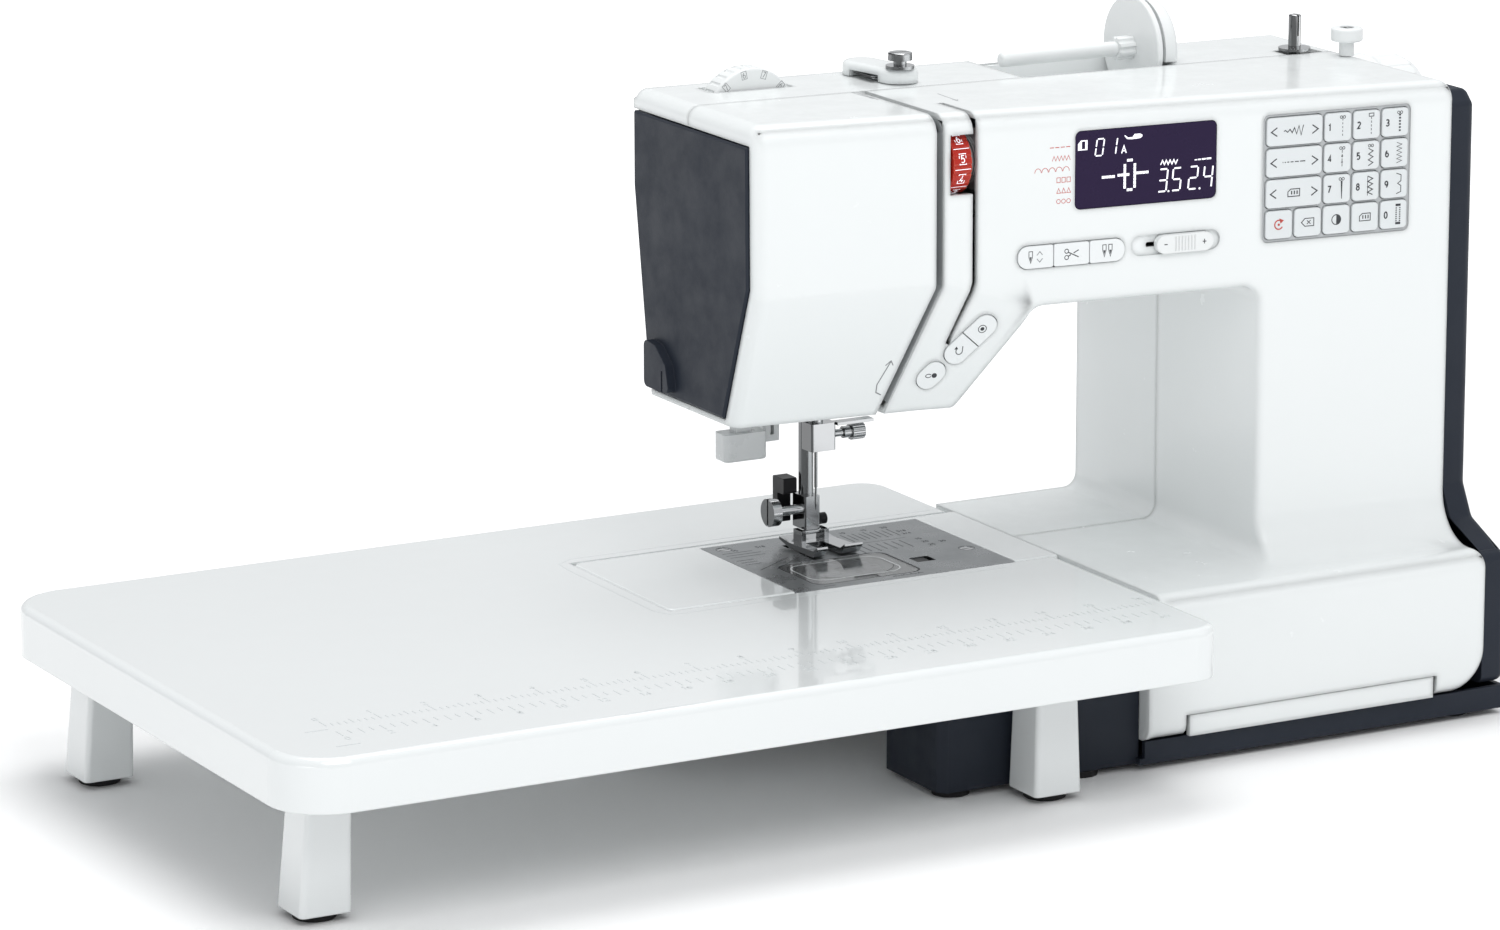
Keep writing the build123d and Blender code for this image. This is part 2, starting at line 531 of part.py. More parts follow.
with BuildPart() as motor:
    rod_x(186, 230, MOT_Y, MOT_Z, 24)
    rod_x(230, 234, MOT_Y, MOT_Z, 9)
    blk(188, 228, MOT_Y + 4, 12, MOT_Z - 28, MOT_Z - 22)
    blk(188, 228, MOT_Y + 4, MOT_Y + 10, MOT_Z - 28, MOT_Z - 10)
    rod_x(180, 236, MOT_Y, MOT_Z, 3.06, mode=Mode.SUBTRACT)
keep(motor, "motor")

with BuildPart() as motor_rotor:
    rod_x(182, 250, MOT_Y, MOT_Z, 3)
    rod_x(238, 250, MOT_Y, MOT_Z, 8)
keep(motor_rotor, "motor_rotor")

# ---------------------------------------------------------------- needle bar, take-up, presser
with BuildPart() as needle_bar:
    rod_z(130, 264, 0, 0, 3.25)
    blk(-5, 8, -5, 5, 128, 141)
    fillet(near(needle_bar.edges(), L=(12.9, 13.1), Z=(134, 135)), 1.2)
    blk(-6, 5, -7, 5.6, 214, 224)
    blk(8, 27, -6.4, -1, 139.6, 141)

with BuildPart() as needle:
    rod_z(110, 128, 0, 0, 0.8)
    rod_z(102, 110, 0, 0, 0.55)
    with Locations((0, 0, 100.5)):
        Cone(0.12, 0.55, 3)
    blk(-.8, .8, .3, 2, 102, 120, mode=Mode.SUBTRACT)
keep(needle, "needle")

with BuildPart() as clamp_screw:
    rod_x(8.2, 14, 0, 134.5, 1.8)
    rod_x(14, 18, 0, 134.5, 2.8)
    rod_x(18, 24.5, 0, 134.5, 4)
    with Locations(Location((21.2, 0, 134.5), (0, 90, 0))):
        with PolarLocations(4.3, 14):
            Cylinder(0.6, 7, mode=Mode.SUBTRACT)
keep(clamp_screw, "needle_clamp_screw")

with BuildPart() as connecting_rod:
    blk(5, 8, -7.4, -.6, 216, 276)
    rod_x(5, 8, SHAFT_Y, SHAFT_Z + STROKE / 2, 5.6)
with BuildPart() as bar:
    add(needle_bar.part)
    add(connecting_rod.part)
keep(bar, "needle_bar")

with BuildPart() as take_up:
    with BuildSketch(Plane.YZ.offset(9.2)) as sk_tu:
        with BuildLine():
            Polyline((-42, 241), (-33, 241), (-32, 255), (-44, 262), (-66, 286), (-78, 289), (-82, 284),
                     (-76, 280), (-68, 280), (-50, 256), close=True)
        make_face()
        fillet(sk_tu.vertices(), 1.8)
        with Locations((-76.5, 284.4)):
            Circle(1.3, mode=Mode.SUBTRACT)
    extrude(sk_tu.sketch, amount=1.8)
    rod_x(11, 30.5, -38, 248, 2.5)
keep(take_up, "take_up_lever")

with BuildPart() as presser_bar:
    rod_z(98, 250, PB_X, PB_Y, 3.5)
    blk(-2, 6, 6.6, 19, 88.2, 104)
    rod_x(-6, 10, 8, 87, 1.36, mode=Mode.SUBTRACT)
    fillet(near(presser_bar.edges(), Z=(95, 97), L=(15.7, 15.9)), 0.8)
    # slotted thumb screw on the left of the ankle, release knob on its right
    rod_x(-15.5, -1.5, 10, 98, 2.3)
    rod_x(-20, -15.5, 10, 98, 6.6)
    blk(-21, -18.4, 9.3, 10.7, 90, 106, mode=Mode.SUBTRACT)
    rod_x(5.5, 8, 12, 91.5, 1.4)
    rod_x(8, 11.5, 12, 91.5, 2.7)
keep(presser_bar, "presser_bar")

with BuildPart() as foot_release:
    blk(-9.5, -2.5, 13.6, 24, 104.6, 112)
    blk(-9.5, -2.5, 19.6, 24, 90, 104.6)
    fillet(near(foot_release.edges(), L=(6.9, 7.1)), 1.0)
keep(foot_release, "foot_release_lever")

with BuildPart() as presser_foot:
    prism_x([(-15, 84), (-19, 86.5), (-19.5, 85.6), (-15.5, 81.2), (-13, 80.9), (8, 80.9), (17, 82.9), (17, 84.2), (8, 83.2)], -10, 14)
    rr_z(-4.5, 4.5, -25, 2.4, 78, 90, 2, mode=Mode.SUBTRACT)
    blk(-5.2, -2.9, 4, 12, 83, 88.4)
    blk(6.9, 9.2, 4, 12, 83, 88.4)
    rod_x(-5.2, 9.2, 8, 87, 1.2)
keep(presser_foot, "presser_foot")

with BuildPart() as presser_lever:
    rod_y(29, 34.5, 20, 190, 7)
    rod_y(18.4, 29, 20, 190, 3)
    with BuildSketch(Plane.XZ.offset(-34.5)) as sk_pl:
        with BuildLine():
            Polyline((14, 187), (26, 193), (44, 166), (50, 150), (43, 146), (36, 160), close=True)
        make_face()
        fillet(sk_pl.vertices(), 2.5)
    extrude(sk_pl.sketch, amount=5)
keep(presser_lever, "presser_lever")

with BuildPart() as threader:
    rr_z(-56, -34, -16, -4.5, 131, 144, 2.5)
    fillet(near(threader.edges(), Z=(130.9, 131.1)), 1.2)
    blk(-49, -41, -13, -7, 144, 205)
keep(threader, "threader_lever")

with BuildPart() as buttonhole_lever:
    rr_z(-30, -21.5, -5, 2, 136, 147, 1.5)
    blk(-28, -23.5, -3.4, .6, 147, 200)
    blk(-26.6, -24.8, -6, -2, 139, 144, mode=Mode.SUBTRACT)
keep(buttonhole_lever, "buttonhole_lever")

with BuildPart() as lamp:
    rr_z(-17.4, -11, -10, -3, 150, 160.4, 1)
    blk(-17.4, -11, -10, -3, 160.4, 170)
    blk(-30, -11, -12.4, -10.2, 164, 176)
keep(lamp, "led_lamp")

# ---------------------------------------------------------------- dials, slider, buttons, display
with BuildPart() as tension_dial:
    rod_x(15.6, 24.8, -82.6, 275.4, 15)
    rod_x(15, 25.4, -82.6, 275.4, 2.56, mode=Mode.SUBTRACT)
    with Locations(Location((20.2, -82.6, 275.4), (0, 90, 0))):
        with PolarLocations(15.4, 24):
            Cylinder(0.8, 10, mode=Mode.SUBTRACT)
keep(tension_dial, "tension_dial")

with BuildPart() as tension_unit:
    rod_x(13.8, 30, -82.6, 275.4, 2.5)
    rod_x(28.6, 30.2, -82.6, 275.4, 11)
    rod_x(26.6, 28.0, -82.6, 275.4, 11)
    blk(30.2, 32.2, -91, -66, 262, 290)

with BuildPart() as pressure_dial:
    rod_y(2, 14, DIAL[0], DIAL[1], DIAL[2])
    fillet(pressure_dial.edges().filter_by(GeomType.CIRCLE), 1.2)
    with Locations(Location((DIAL[0], 8, DIAL[1]), (90, 0, 0))):
        with PolarLocations(DIAL[2] + .6, 32):
            Cylinder(1.1, 8, mode=Mode.SUBTRACT)
    rod_y(0, 16, DIAL[0], DIAL[1], 2.56, mode=Mode.SUBTRACT)
keep(pressure_dial, "pressure_dial")

with BuildPart() as pressure_axle:
    rod_y(0.4, 23.8, DIAL[0], DIAL[1], 2.5)
    blk(DIAL[0] - 6, DIAL[0] + 14, 18, 23.6, DIAL[1] - 8, DIAL[1] + 6)

with BuildPart() as lcd_window:
    face_rr(LCD[0] + .1, LCD[1] - .1, LCD[2] + .1, LCD[3] - .1, 2.9, -2.6, -.4)
keep(lcd_window, "lcd_window")

with BuildPart() as lcd_module:
    face_rr(LCD[0] - 2, LCD[1] + 2, LCD[2] - 2, LCD[3] + 2, 1, -8, -3.1)

# keypad: three wide rocker keys, nine number keys, a bottom row of five
KEYS = []
kw = (76 - 3.2 - 4 * 1.3) / 5
kh = (PAD[3] - PAD[2] - 3.2 - 3 * 1.3) / 4
for row in range(4):
    kz1 = PAD[3] - 1.6 - row * (kh + 1.3)
    if row < 3:
        KEYS.append((PAD[0] + 1.6, PAD[0] + 1.6 + 2 * kw + 1.3, kz1 - kh, kz1))
        cols = (2, 3, 4)
    else:
        cols = (0, 1, 2, 3, 4)
    for c in cols:
        ku = PAD[0] + 1.6 + c * (kw + 1.3)
        KEYS.append((ku, ku + kw, kz1 - kh, kz1))

with BuildPart() as keypad_mat:
    face_rr(PAD[0] + .1, PAD[1] - .1, PAD[2] + .1, PAD[3] - .1, 2.9, -2.6, -.5)
    for k in KEYS:
        face_rr(k[0] - .35, k[1] + .35, k[2] - .35, k[3] + .35, 2.2, -4, 1, mode=Mode.SUBTRACT)
keep(keypad_mat, "keypad_mat")

with BuildPart() as keypad_keys:
    for k in KEYS:
        face_rr(k[0], k[1], k[2], k[3], 1.9, -2.2, .5)
keep(keypad_keys, "keypad_keys")

with BuildPart() as main_board:
    face_rr(-96, 84, 232, 289, 1, -11.6, -10)
    face_rr(0, 30, 240, 262, 1, -14, -11.6)
    face_rr(-80, -60, 250, 262, 1, -16, -11.6)
with BuildPart() as board:
    add(main_board.part)
    add(lcd_module.part)
keep(board, "main_board")

AW = (AB[1] - AB[0] - .7 - .8) / 3
with BuildPart() as arm_buttons:
    for i in range(3):
        a0 = AB[0] + .35 + i * (AW + .4)
        face_rr(a0, a0 + AW, AB[2] + .35, AB[3] - .35, 1.0, -2.6, .5)
    face_rr(AB[0] + .35, AB[1] - .35, AB[2] + .35, AB[3] - .35, 4.85, -3, 1, mode=Mode.INTERSECT)
keep(arm_buttons, "arm_buttons")

with BuildPart() as speed_slider:
    face_rr(-54, -25.4, 227.2, 235.8, 4.2, -.9, 2.4)
    face_rr(-42, -38, 230.9, 232.1, .5, -5, -.9)
    with Locations(FACE):
        with Locations([(-44.5 + 1.6 * i, 231.5, 2.5) for i in range(7)]):
            Box(.5, 6.4, 0.8, mode=Mode.SUBTRACT)
keep(speed_slider, "speed_slider")

# start/stop and reverse share a pill, the securing button is an oval below them
with BuildPart() as sewing_buttons:
    facet_pill(FP_PILL, 29, 11, 5.4, -2.6, .5)
    with BuildSketch(FP_PILL.offset(-4)) as sk_gap:
        Rectangle(.5, 20)
    extrude(sk_gap.sketch, amount=6, mode=Mode.SUBTRACT)
    facet_pill(FP_SEC, 14.7, 10.5, 5.2, -2.6, .5)
keep(sewing_buttons, "sewing_buttons")

with BuildPart() as frame:
    add(chassis.part)
    add(pressure_axle.part)
    add(tension_unit.part)
keep(frame, "chassis")

# ---------------------------------------------------------------- top: spool tray and pin, winder, guide, handle
with BuildPart() as spool_tray:
    blk(TRAY[0], TRAY[1], TRAY[2], TRAY[3], TRAY[4] - 2, 293.6)
    blk(TRAY[0] + 2, TRAY[1] - 2, TRAY[2] + 2, TRAY[3] - 2, TRAY[4], 310, mode=Mode.SUBTRACT)

with BuildPart() as spool_pin:
    rod_x(98.5, 174.4, SP_Y, SP_Z, 3.5)
    fillet(near(spool_pin.edges(), X=(98.3, 98.7)), 1.6)
    rod_x(174.4, 182.4, SP_Y, SP_Z, 23.5)
    fillet(near(spool_pin.edges(), X=(182.3, 182.5), L=(100, 160)), 4)
    blk(173, 190, -30, 40, 270, 296.8, mode=Mode.SUBTRACT)
with BuildPart() as spool_holder:
    add(spool_tray.part)
    add(spool_pin.part)
keep(spool_holder, "spool_holder")

with BuildPart() as spool_cap:
    rod_x(169.6, 172.6, SP_Y, SP_Z, 24.5)
    fillet(near(spool_cap.edges(), L=(150, 160)), 1)
    rod_x(161, 169.6, SP_Y, SP_Z, 5.6)
    with Locations(Location((165, SP_Y, SP_Z), (0, 90, 0))):
        with PolarLocations(6.2, 8):
            Cylinder(1.5, 9, mode=Mode.SUBTRACT)
    rod_x(155, 176, SP_Y, SP_Z, 3.56, mode=Mode.SUBTRACT)
keep(spool_cap, "spool_cap")

with BuildPart() as winder_base:
    blk(WIND_X - 7, WIND_X + 7, WIND_Y - 5, WIND_Y + 5, 288, 292)
    rod_z(280, 293, WIND_X, WIND_Y, 2.56, mode=Mode.SUBTRACT)
keep(winder_base, "winder_shifter")

with BuildPart() as winder_spindle:
    rod_z(287.4, 313, WIND_X, WIND_Y, 2.5)
    rod_z(296.2, 297.4, WIND_X, WIND_Y, 7.6)
    rod_z(297.4, 313, WIND_X, WIND_Y, 2.95)
    fillet(near(winder_spindle.edges(), Z=(312.9, 313.1)), 0.8)
    blk(WIND_X - .4, WIND_X + .4, WIND_Y - 4, WIND_Y + 4, 303, 314, mode=Mode.SUBTRACT)
keep(winder_spindle, "winder_spindle")

with BuildPart() as winder_stop:
    rod_z(295.2, 302, 264, -38, 3.6)
    rod_z(302, 308.5, 264, -38, 7.6)
    fillet(near(winder_stop.edges(), Z=(301.9, 308.6), L=(40, 50)), 1.2)
    rod_z(306.6, 309, 264, -38, 3.4, mode=Mode.SUBTRACT)
keep(winder_stop, "winder_stop")

with BuildPart() as stop_screw:
    rod_z(306.6, 308, 264, -38, 3.2)
    blk(261, 267, -38.5, -37.5, 307.2, 309, mode=Mode.SUBTRACT)
    blk(263.5, 264.5, -41, -35, 307.2, 309, mode=Mode.SUBTRACT)

with BuildPart() as thread_guide:
    with BuildSketch(Plane.XY.offset(292)) as sk_tg:
        with Locations(Location((35, 2.5, 0), (0, 0, 100.7))):
            RectangleRounded(43.5, 18, 8.8)
    extrude(sk_tg.sketch, amount=13)
    fillet(near(thread_guide.edges(), Z=(304.9, 305.1)), 2.5)
    # sits over the top: everything below the covers' surface is cut away
    prism_y([(-20, 280), (80, 280), (80, 297.8), (-20, 299.2)], -40, 40, mode=Mode.SUBTRACT)
    # thread opening under its left edge
    blk(18, 30.5, -8, 12, 290, 301.6, mode=Mode.SUBTRACT)
keep(thread_guide, "thread_guide")

with BuildPart() as guide_stud:
    rod_z(305.2, 306.6, 36, -14, 6.6)
    rod_z(306.6, 309, 36, -14, 3)
    rod_z(309, 312.6, 36, -14, 5.6)
    fillet(near(guide_stud.edges(), Z=(312.5, 312.7)), 0.8)
    blk(30, 42, -14.5, -13.5, 311.6, 314, mode=Mode.SUBTRACT)
keep(guide_stud, "pretension_stud")

with BuildPart() as handle:
    blk(119, 231, 41.6, 47.2, 238, 246)
    blk(119, 126, 41.6, 47.2, 238, 260)
    blk(224, 231, 41.6, 47.2, 238, 260)
    fillet(near(handle.edges(), L=(5.5, 5.7)), 2)
    rod_x(115.6, 119.5, 44.4, 257, 1.6)
    rod_x(230.5, 234.4, 44.4, 257, 1.6)
keep(handle, "carrying_handle")

with BuildPart() as drop_lever:
    blk(26, 34, 24, 36.5, 38, 46)
    fillet(near(drop_lever.edges(), Y=(36.4, 36.6), L=(7.9, 8.1)), 1.4)
keep(drop_lever, "drop_feed_lever")

# ---------------------------------------------------------------- electrics on the right side
with BuildPart() as inlet:
    blk(273, 285.6, 1.3, 24.7, 22.3, 39.7)
    blk(276, 290, 4.5, 21.5, 25.5, 36.5, mode=Mode.SUBTRACT)
    for iy in (8.5, 17.5):
        rod_x(276, 279.5, iy, 31, 1.2)
    # the switch's body stands on the inlet's
    blk(273, 274.6, 3, 23, 39, 64)
keep(inlet, "power_inlet")

with BuildPart() as rocker:
    with BuildSketch(Plane.XZ.offset(-22)) as sk_rk:
        with BuildLine():
            Polyline((276, 49), (285.6, 48), (287.6, 55), (285.2, 62), (276, 61), close=True)
        make_face()
    extrude(sk_rk.sketch, amount=18)
keep(rocker, "power_switch")

# ---------------------------------------------------------------- extension table
TX0, TX1, TY0, TY1, TZ0 = TAB
with BuildPart() as table:
    with BuildSketch(Plane.XY.offset(TZ0)) as sk_t:
        with BuildLine():
            Polyline((TX0, TY0), (TX1, TY0), (TX1, TY1), (TX0, TY1), close=True)
        make_face()
        fillet(sk_t.vertices().filter_by(lambda v: v.X < 0), 26)
        fillet(sk_t.vertices().filter_by(lambda v: abs(v.X - TX1) < .1), 15)
    extrude(sk_t.sketch, amount=BED - TZ0)
    fillet(near(table.edges(), Z=(BED - .1, BED + .1)), 4)
    # free arm's slot, open to the right
    blk(AX0 - .6, TX1 + 5, AY0 - .6 - .9, AY1 + .6, TZ0 - 1, BED + 1, mode=Mode.SUBTRACT)
    # hollow underside, with a wall round the slot
    with BuildSketch(Plane.XY.offset(TZ0 - 1)) as sk_h:
        with BuildLine():
            Polyline((TX0 + 2.8, TY0 + 2.8), (TX1 - 2.8, TY0 + 2.8), (TX1 - 2.8, TY1 - 2.8), (TX0 + 2.8, TY1 - 2.8), close=True)
        make_face()
        fillet(sk_h.vertices().filter_by(lambda v: v.X < 0), 23)
        fillet(sk_h.vertices().filter_by(lambda v: v.X > 0), 12)
        with Locations(((AX0 - 3.2 + TX1) / 2, (AY0 - 1.5 + AY1 + .6) / 2)):
            Rectangle(TX1 - AX0 + 3.2, AY1 - AY0 + 2.1 + 5.2, mode=Mode.SUBTRACT)
    extrude(sk_h.sketch, amount=BED - 2.8 - (TZ0 - 1), mode=Mode.SUBTRACT)
LEGS = {"front_left": (-329, -164, -4, 1), "back_left": (-329, 65, -4, 1),
        "front_right": (26, -162, 0, -1), "back_right": (26, 65, 0, -1)}
LZ = 65.0
with BuildPart() as table2:
    add(table.part)
    for nm, (lx, ly, lean, way) in LEGS.items():
        for s_ in (-1, 1):
            blk(lx - 7, lx + 7, min(ly + s_ * 12, ly + s_ * 15), max(ly + s_ * 12, ly + s_ * 15), 60, BED - 2.6)
            rod_y(min(ly + s_ * 11, ly + s_ * 16), max(ly + s_ * 11, ly + s_ * 16), lx, LZ, 2.6, mode=Mode.SUBTRACT)
    # ribs under the top
    blk(-250, -246, TY0 + 2.6, TY1 - 2.6, 70, BED - 2.6)
    blk(-170, -166, TY0 + 2.6, TY1 - 2.6, 70, BED - 2.6)
    blk(-80, -77, TY0 + 2.6, AY0 - 2, 70, BED - 2.6)
    blk(-80, -77, AY1 + 2, TY1 - 2.6, 70, BED - 2.6)
keep(table2, "extension_table")

for nm, (lx, ly, lean, way) in LEGS.items():
    with BuildPart() as leg:
        with BuildSketch(Plane.XY.offset(3.6)) as s1:
            with Locations((lx + lean, ly)):
                RectangleRounded(24, 25, 2.5)
        with BuildSketch(Plane.XY.offset(71)) as s2:
            with Locations((lx, ly)):
                RectangleRounded(20, 22, 2.5)
        loft(sections=[s1.sketch, s2.sketch])
        rod_y(ly - 14.6, ly + 14.6, lx, LZ, 2.5)
        rod_z(0, 3.7, lx + lean, ly, 9.5)
        fillet(near(leg.edges(), Z=(-.1, .1)), 0.8)
    keep(leg, "table_leg_" + nm)

# ---------------------------------------------------------------- cover screws, on the back
with BuildPart() as cover_screws:
    for sx, sz in ((190, 150), (250, 200), (250, 60), (120, 60), (0, 270)):
        yb_ = HEAD_REAR if sx < 60 else REAR
        rod_y(yb_ + .05, yb_ + 1.6, sx, sz, 3.4)
        blk(sx - 2.4, sx + 2.4, yb_ + .9, yb_ + 2, sz - .4, sz + .4, mode=Mode.SUBTRACT)
        blk(sx - .4, sx + .4, yb_ + .9, yb_ + 2, sz - 2.4, sz + 2.4, mode=Mode.SUBTRACT)
with BuildPart() as screws:
    add(cover_screws.part)
    add(plate_screws.part)
    add(stop_screw.part)
keep(screws, "screws")
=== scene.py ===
import bpy, bmesh, math
from mathutils import Vector, Matrix

from mathutils.bvhtree import BVHTree


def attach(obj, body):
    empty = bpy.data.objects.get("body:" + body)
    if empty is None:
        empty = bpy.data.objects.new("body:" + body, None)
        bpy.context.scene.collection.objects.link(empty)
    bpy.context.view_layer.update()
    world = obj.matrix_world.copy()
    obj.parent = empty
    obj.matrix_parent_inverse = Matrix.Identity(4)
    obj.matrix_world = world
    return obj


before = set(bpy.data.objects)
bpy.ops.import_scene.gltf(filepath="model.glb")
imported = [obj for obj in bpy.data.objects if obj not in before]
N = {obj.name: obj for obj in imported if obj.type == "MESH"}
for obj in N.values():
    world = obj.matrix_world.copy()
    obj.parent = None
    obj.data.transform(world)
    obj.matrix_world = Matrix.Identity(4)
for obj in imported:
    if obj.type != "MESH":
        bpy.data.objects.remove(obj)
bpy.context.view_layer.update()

# ------------------------------------------------------------------ places
# The part was drawn about the needle's axis; DX, DY move that drawing frame (mm) into the row's frame (m).
DX, DY = 19.5, 51.0
COL_L, FRONT_AT_COL, TAPER, BED = 170.0, -110.5, 0.094, 80.5
T_ANG = math.atan(TAPER)
CT, ST = math.cos(T_ANG), math.sin(T_ANG)


def W(x, y, z):
    return Vector(((x + DX) / 1000, (y + DY) / 1000, z / 1000))


def front_y(x):
    return FRONT_AT_COL - TAPER * (x - COL_L)


class Face:
    """A flat place to draw on: origin, two unit vectors and the outward normal, in mm of the drawing frame."""

    def __init__(self, o, u, v):
        self.o, self.u, self.v = Vector(o), Vector(u).normalized(), Vector(v).normalized()
        self.n = self.u.cross(self.v).normalized()

    def at(self, a, b, h=0.0):
        p = self.o + self.u * a + self.v * b + self.n * h
        return W(p.x, p.y, p.z)


ARM = Face((COL_L, FRONT_AT_COL, 0), (CT, -ST, 0), (0, 0, 1))
BEDF = Face((0, 0, BED), (1, 0, 0), (0, 1, 0))


# ------------------------------------------------------------------ flat artwork as thin solids
class Art:
    def __init__(self, face, h0=0.0, h1=0.05):
        self.f, self.h0, self.h1, self.bm = face, h0, h1, bmesh.new()

    def poly(self, pts):
        area = sum(pts[i - 1][0] * pts[i][1] - pts[i][0] * pts[i - 1][1] for i in range(len(pts)))
        if area < 0:
            pts = pts[::-1]
        lo = [self.bm.verts.new(self.f.at(a, b, self.h0)) for a, b in pts]
        hi = [self.bm.verts.new(self.f.at(a, b, self.h1)) for a, b in pts]
        self.bm.faces.new(hi)
        self.bm.faces.new(lo[::-1])
        n = len(pts)
        for i in range(n):
            j = (i + 1) % n
            self.bm.faces.new((lo[i], lo[j], hi[j], hi[i]))

    def stroke(self, pts, w, closed=False):
        """A line of even width with mitred corners."""
        P = [Vector((a, b)) for a, b in pts]
        n = len(P)
        L, R = [], []
        for i in range(n):
            if closed:
                d0, d1 = (P[i] - P[i - 1]).normalized(), (P[(i + 1) % n] - P[i]).normalized()
            else:
                d0 = (P[i] - P[i - 1]).normalized() if i else (P[1] - P[0]).normalized()
                d1 = (P[i + 1] - P[i]).normalized() if i < n - 1 else d0
            m = (Vector((-d0.y, d0.x)) + Vector((-d1.y, d1.x)))
            m = m.normalized() if m.length > 1e-6 else Vector((-d0.y, d0.x))
            k = max(0.45, m.dot(Vector((-d0.y, d0.x))))
            L.append(P[i] + m * (w / 2 / k))
            R.append(P[i] - m * (w / 2 / k))
        ll = [[self.bm.verts.new(self.f.at(p.x, p.y, h)) for p in L] for h in (self.h0, self.h1)]
        rr = [[self.bm.verts.new(self.f.at(p.x, p.y, h)) for p in R] for h in (self.h0, self.h1)]
        m = n if closed else n - 1
        for i in range(m):
            j = (i + 1) % n
            self.bm.faces.new((rr[1][i], rr[1][j], ll[1][j], ll[1][i]))
            self.bm.faces.new((rr[0][j], rr[0][i], ll[0][i], ll[0][j]))
            self.bm.faces.new((rr[0][i], rr[0][j], rr[1][j], rr[1][i]))
            self.bm.faces.new((ll[0][j], ll[0][i], ll[1][i], ll[1][j]))
        if not closed:
            self.bm.faces.new((ll[0][0], rr[0][0], rr[1][0], ll[1][0]))
            self.bm.faces.new((rr[0][-1], ll[0][-1], ll[1][-1], rr[1][-1]))

    def circle(self, cx, cy, r, w, n=28, a0=0.0, a1=360.0):
        full = abs(a1 - a0) > 359
        k = n if full else n + 1
        pts = [(cx + r * math.cos(math.radians(a0 + (a1 - a0) * i / n)), cy + r * math.sin(math.radians(a0 + (a1 - a0) * i / n))) for i in range(k)]
        self.stroke(pts, w, closed=full)

    def disc(self, cx, cy, r, n=24, sy=1.0):
        self.poly([(cx + r * math.cos(2 * math.pi * i / n), cy + r * sy * math.sin(2 * math.pi * i / n)) for i in range(n)])

    def rect(self, x0, y0, x1, y1):
        self.poly([(x0, y0), (x1, y0), (x1, y1), (x0, y1)])

    def text(self, s, x, y, h, w, lean=0.0, gap=0.28):
        """Generic numerals and signs, drawn as strokes."""
        for ch in s:
            g = GLYPHS[ch]
            wd = g[0] * h
            for path, closed in g[1]:
                self.stroke([(x + a * h + b * h * lean, y + b * h) for a, b in path], w, closed)
            x += wd + gap * h
        return x

    def seven(self, ch, x, y, h, w, t, lean=0.08):
        """A digit of seven separate bars."""
        on = {"0": "abcdef", "1": "bc", "2": "abged", "3": "abgcd", "4": "fgbc", "5": "afgcd", "6": "afgedc", "7": "abc", "8": "abcdefg", "9": "abcdfg"}[ch]
        g, hh = t * 0.18, h / 2
        seg = {"a": (0, h, w, h), "g": (0, hh, w, hh), "d": (0, 0, w, 0), "f": (0, hh, 0, h), "b": (w, hh, w, h), "e": (0, 0, 0, hh), "c": (w, 0, w, hh)}
        for s in on:
            x0, y0, x1, y1 = seg[s]
            k = t / 2
            if y0 == y1:
                p = [(x0 + k * .5 + g, y0), (x0 + k + g, y0 + k), (x1 - k - g, y0 + k), (x1 - k * .5 - g, y0), (x1 - k - g, y0 - k), (x0 + k + g, y0 - k)]
            else:
                p = [(x0, y0 + k * .5 + g), (x0 + k, y0 + k + g), (x0 + k, y1 - k - g), (x0, y1 - k * .5 - g), (x0 - k, y1 - k - g), (x0 - k, y0 + k + g)]
            self.poly([(x + a + b * lean, y + b) for a, b in p])

    def done(self, name, body, mat):
        bmesh.ops.recalc_face_normals(self.bm, faces=self.bm.faces)
        me = bpy.data.meshes.new(name)
        self.bm.to_mesh(me)
        self.bm.free()
        o = bpy.data.objects.new(name, me)
        bpy.context.scene.collection.objects.link(o)
        o.data.materials.append(mat)
        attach(o, body)
        return o


def arc(cx, cy, rx, ry, a0, a1, n=8):
    return [(cx + rx * math.cos(math.radians(a0 + (a1 - a0) * i / n)), cy + ry * math.sin(math.radians(a0 + (a1 - a0) * i / n))) for i in range(n + 1)]


GLYPHS = {
    "0": (0.5, [(arc(.25, .5, .25, .5, 0, 360, 20)[:-1], True)]),
    "1": (0.3, [([(.02, .8), (.2, 1), (.2, 0)], False)]),
    "2": (0.5, [(arc(.25, .74, .24, .26, 160, -40, 8) + [(.02, 0), (.5, 0)], False)]),
    "3": (0.5, [(arc(.24, .75, .23, .25, 150, -80, 8) + arc(.23, .27, .26, .27, 75, -150, 9), False)]),
    "4": (0.52, [([(.5, .27), (0, .27), (.36, 1), (.36, 0)], False)]),
    "5": (0.5, [([(.46, 1), (.06, 1), (.04, .56)] + arc(.22, .32, .27, .32, 110, -140, 9), False)]),
    "6": (0.5, [(arc(.25, .3, .24, .3, 0, 360, 16)[:-1], True), (arc(.42, .3, .42, .7, 175, 108, 7), False)]),
    "7": (0.5, [([(0, 1), (.5, 1), (.16, 0)], False)]),
    "8": (0.5, [(arc(.25, .76, .2, .24, 0, 360, 16)[:-1], True), (arc(.25, .27, .25, .27, 0, 360, 16)[:-1], True)]),
    "9": (0.5, [(arc(.25, .7, .24, .3, 0, 360, 16)[:-1], True), (arc(.08, .7, .42, .7, -5, -72, 7), False)]),
    "-": (0.4, [([(0, .45), (.4, .45)], False)]),
    "/": (0.3, [([(0, 0), (.3, 1)], False)]),
}


# ------------------------------------------------------------------ materials
def nodes_of(name):
    m = bpy.data.materials.new(name)
    m.use_nodes = True
    nt = m.node_tree
    return m, nt, nt.nodes["Principled BSDF"]


def add(nt, kind, **kw):
    n = nt.nodes.new(kind)
    for k, v in kw.items():
        if k in n.inputs:
            n.inputs[k].default_value = v
        else:
            setattr(n, k, v)
    return n


def lnk(nt, a, b):
    nt.links.new(a, b)


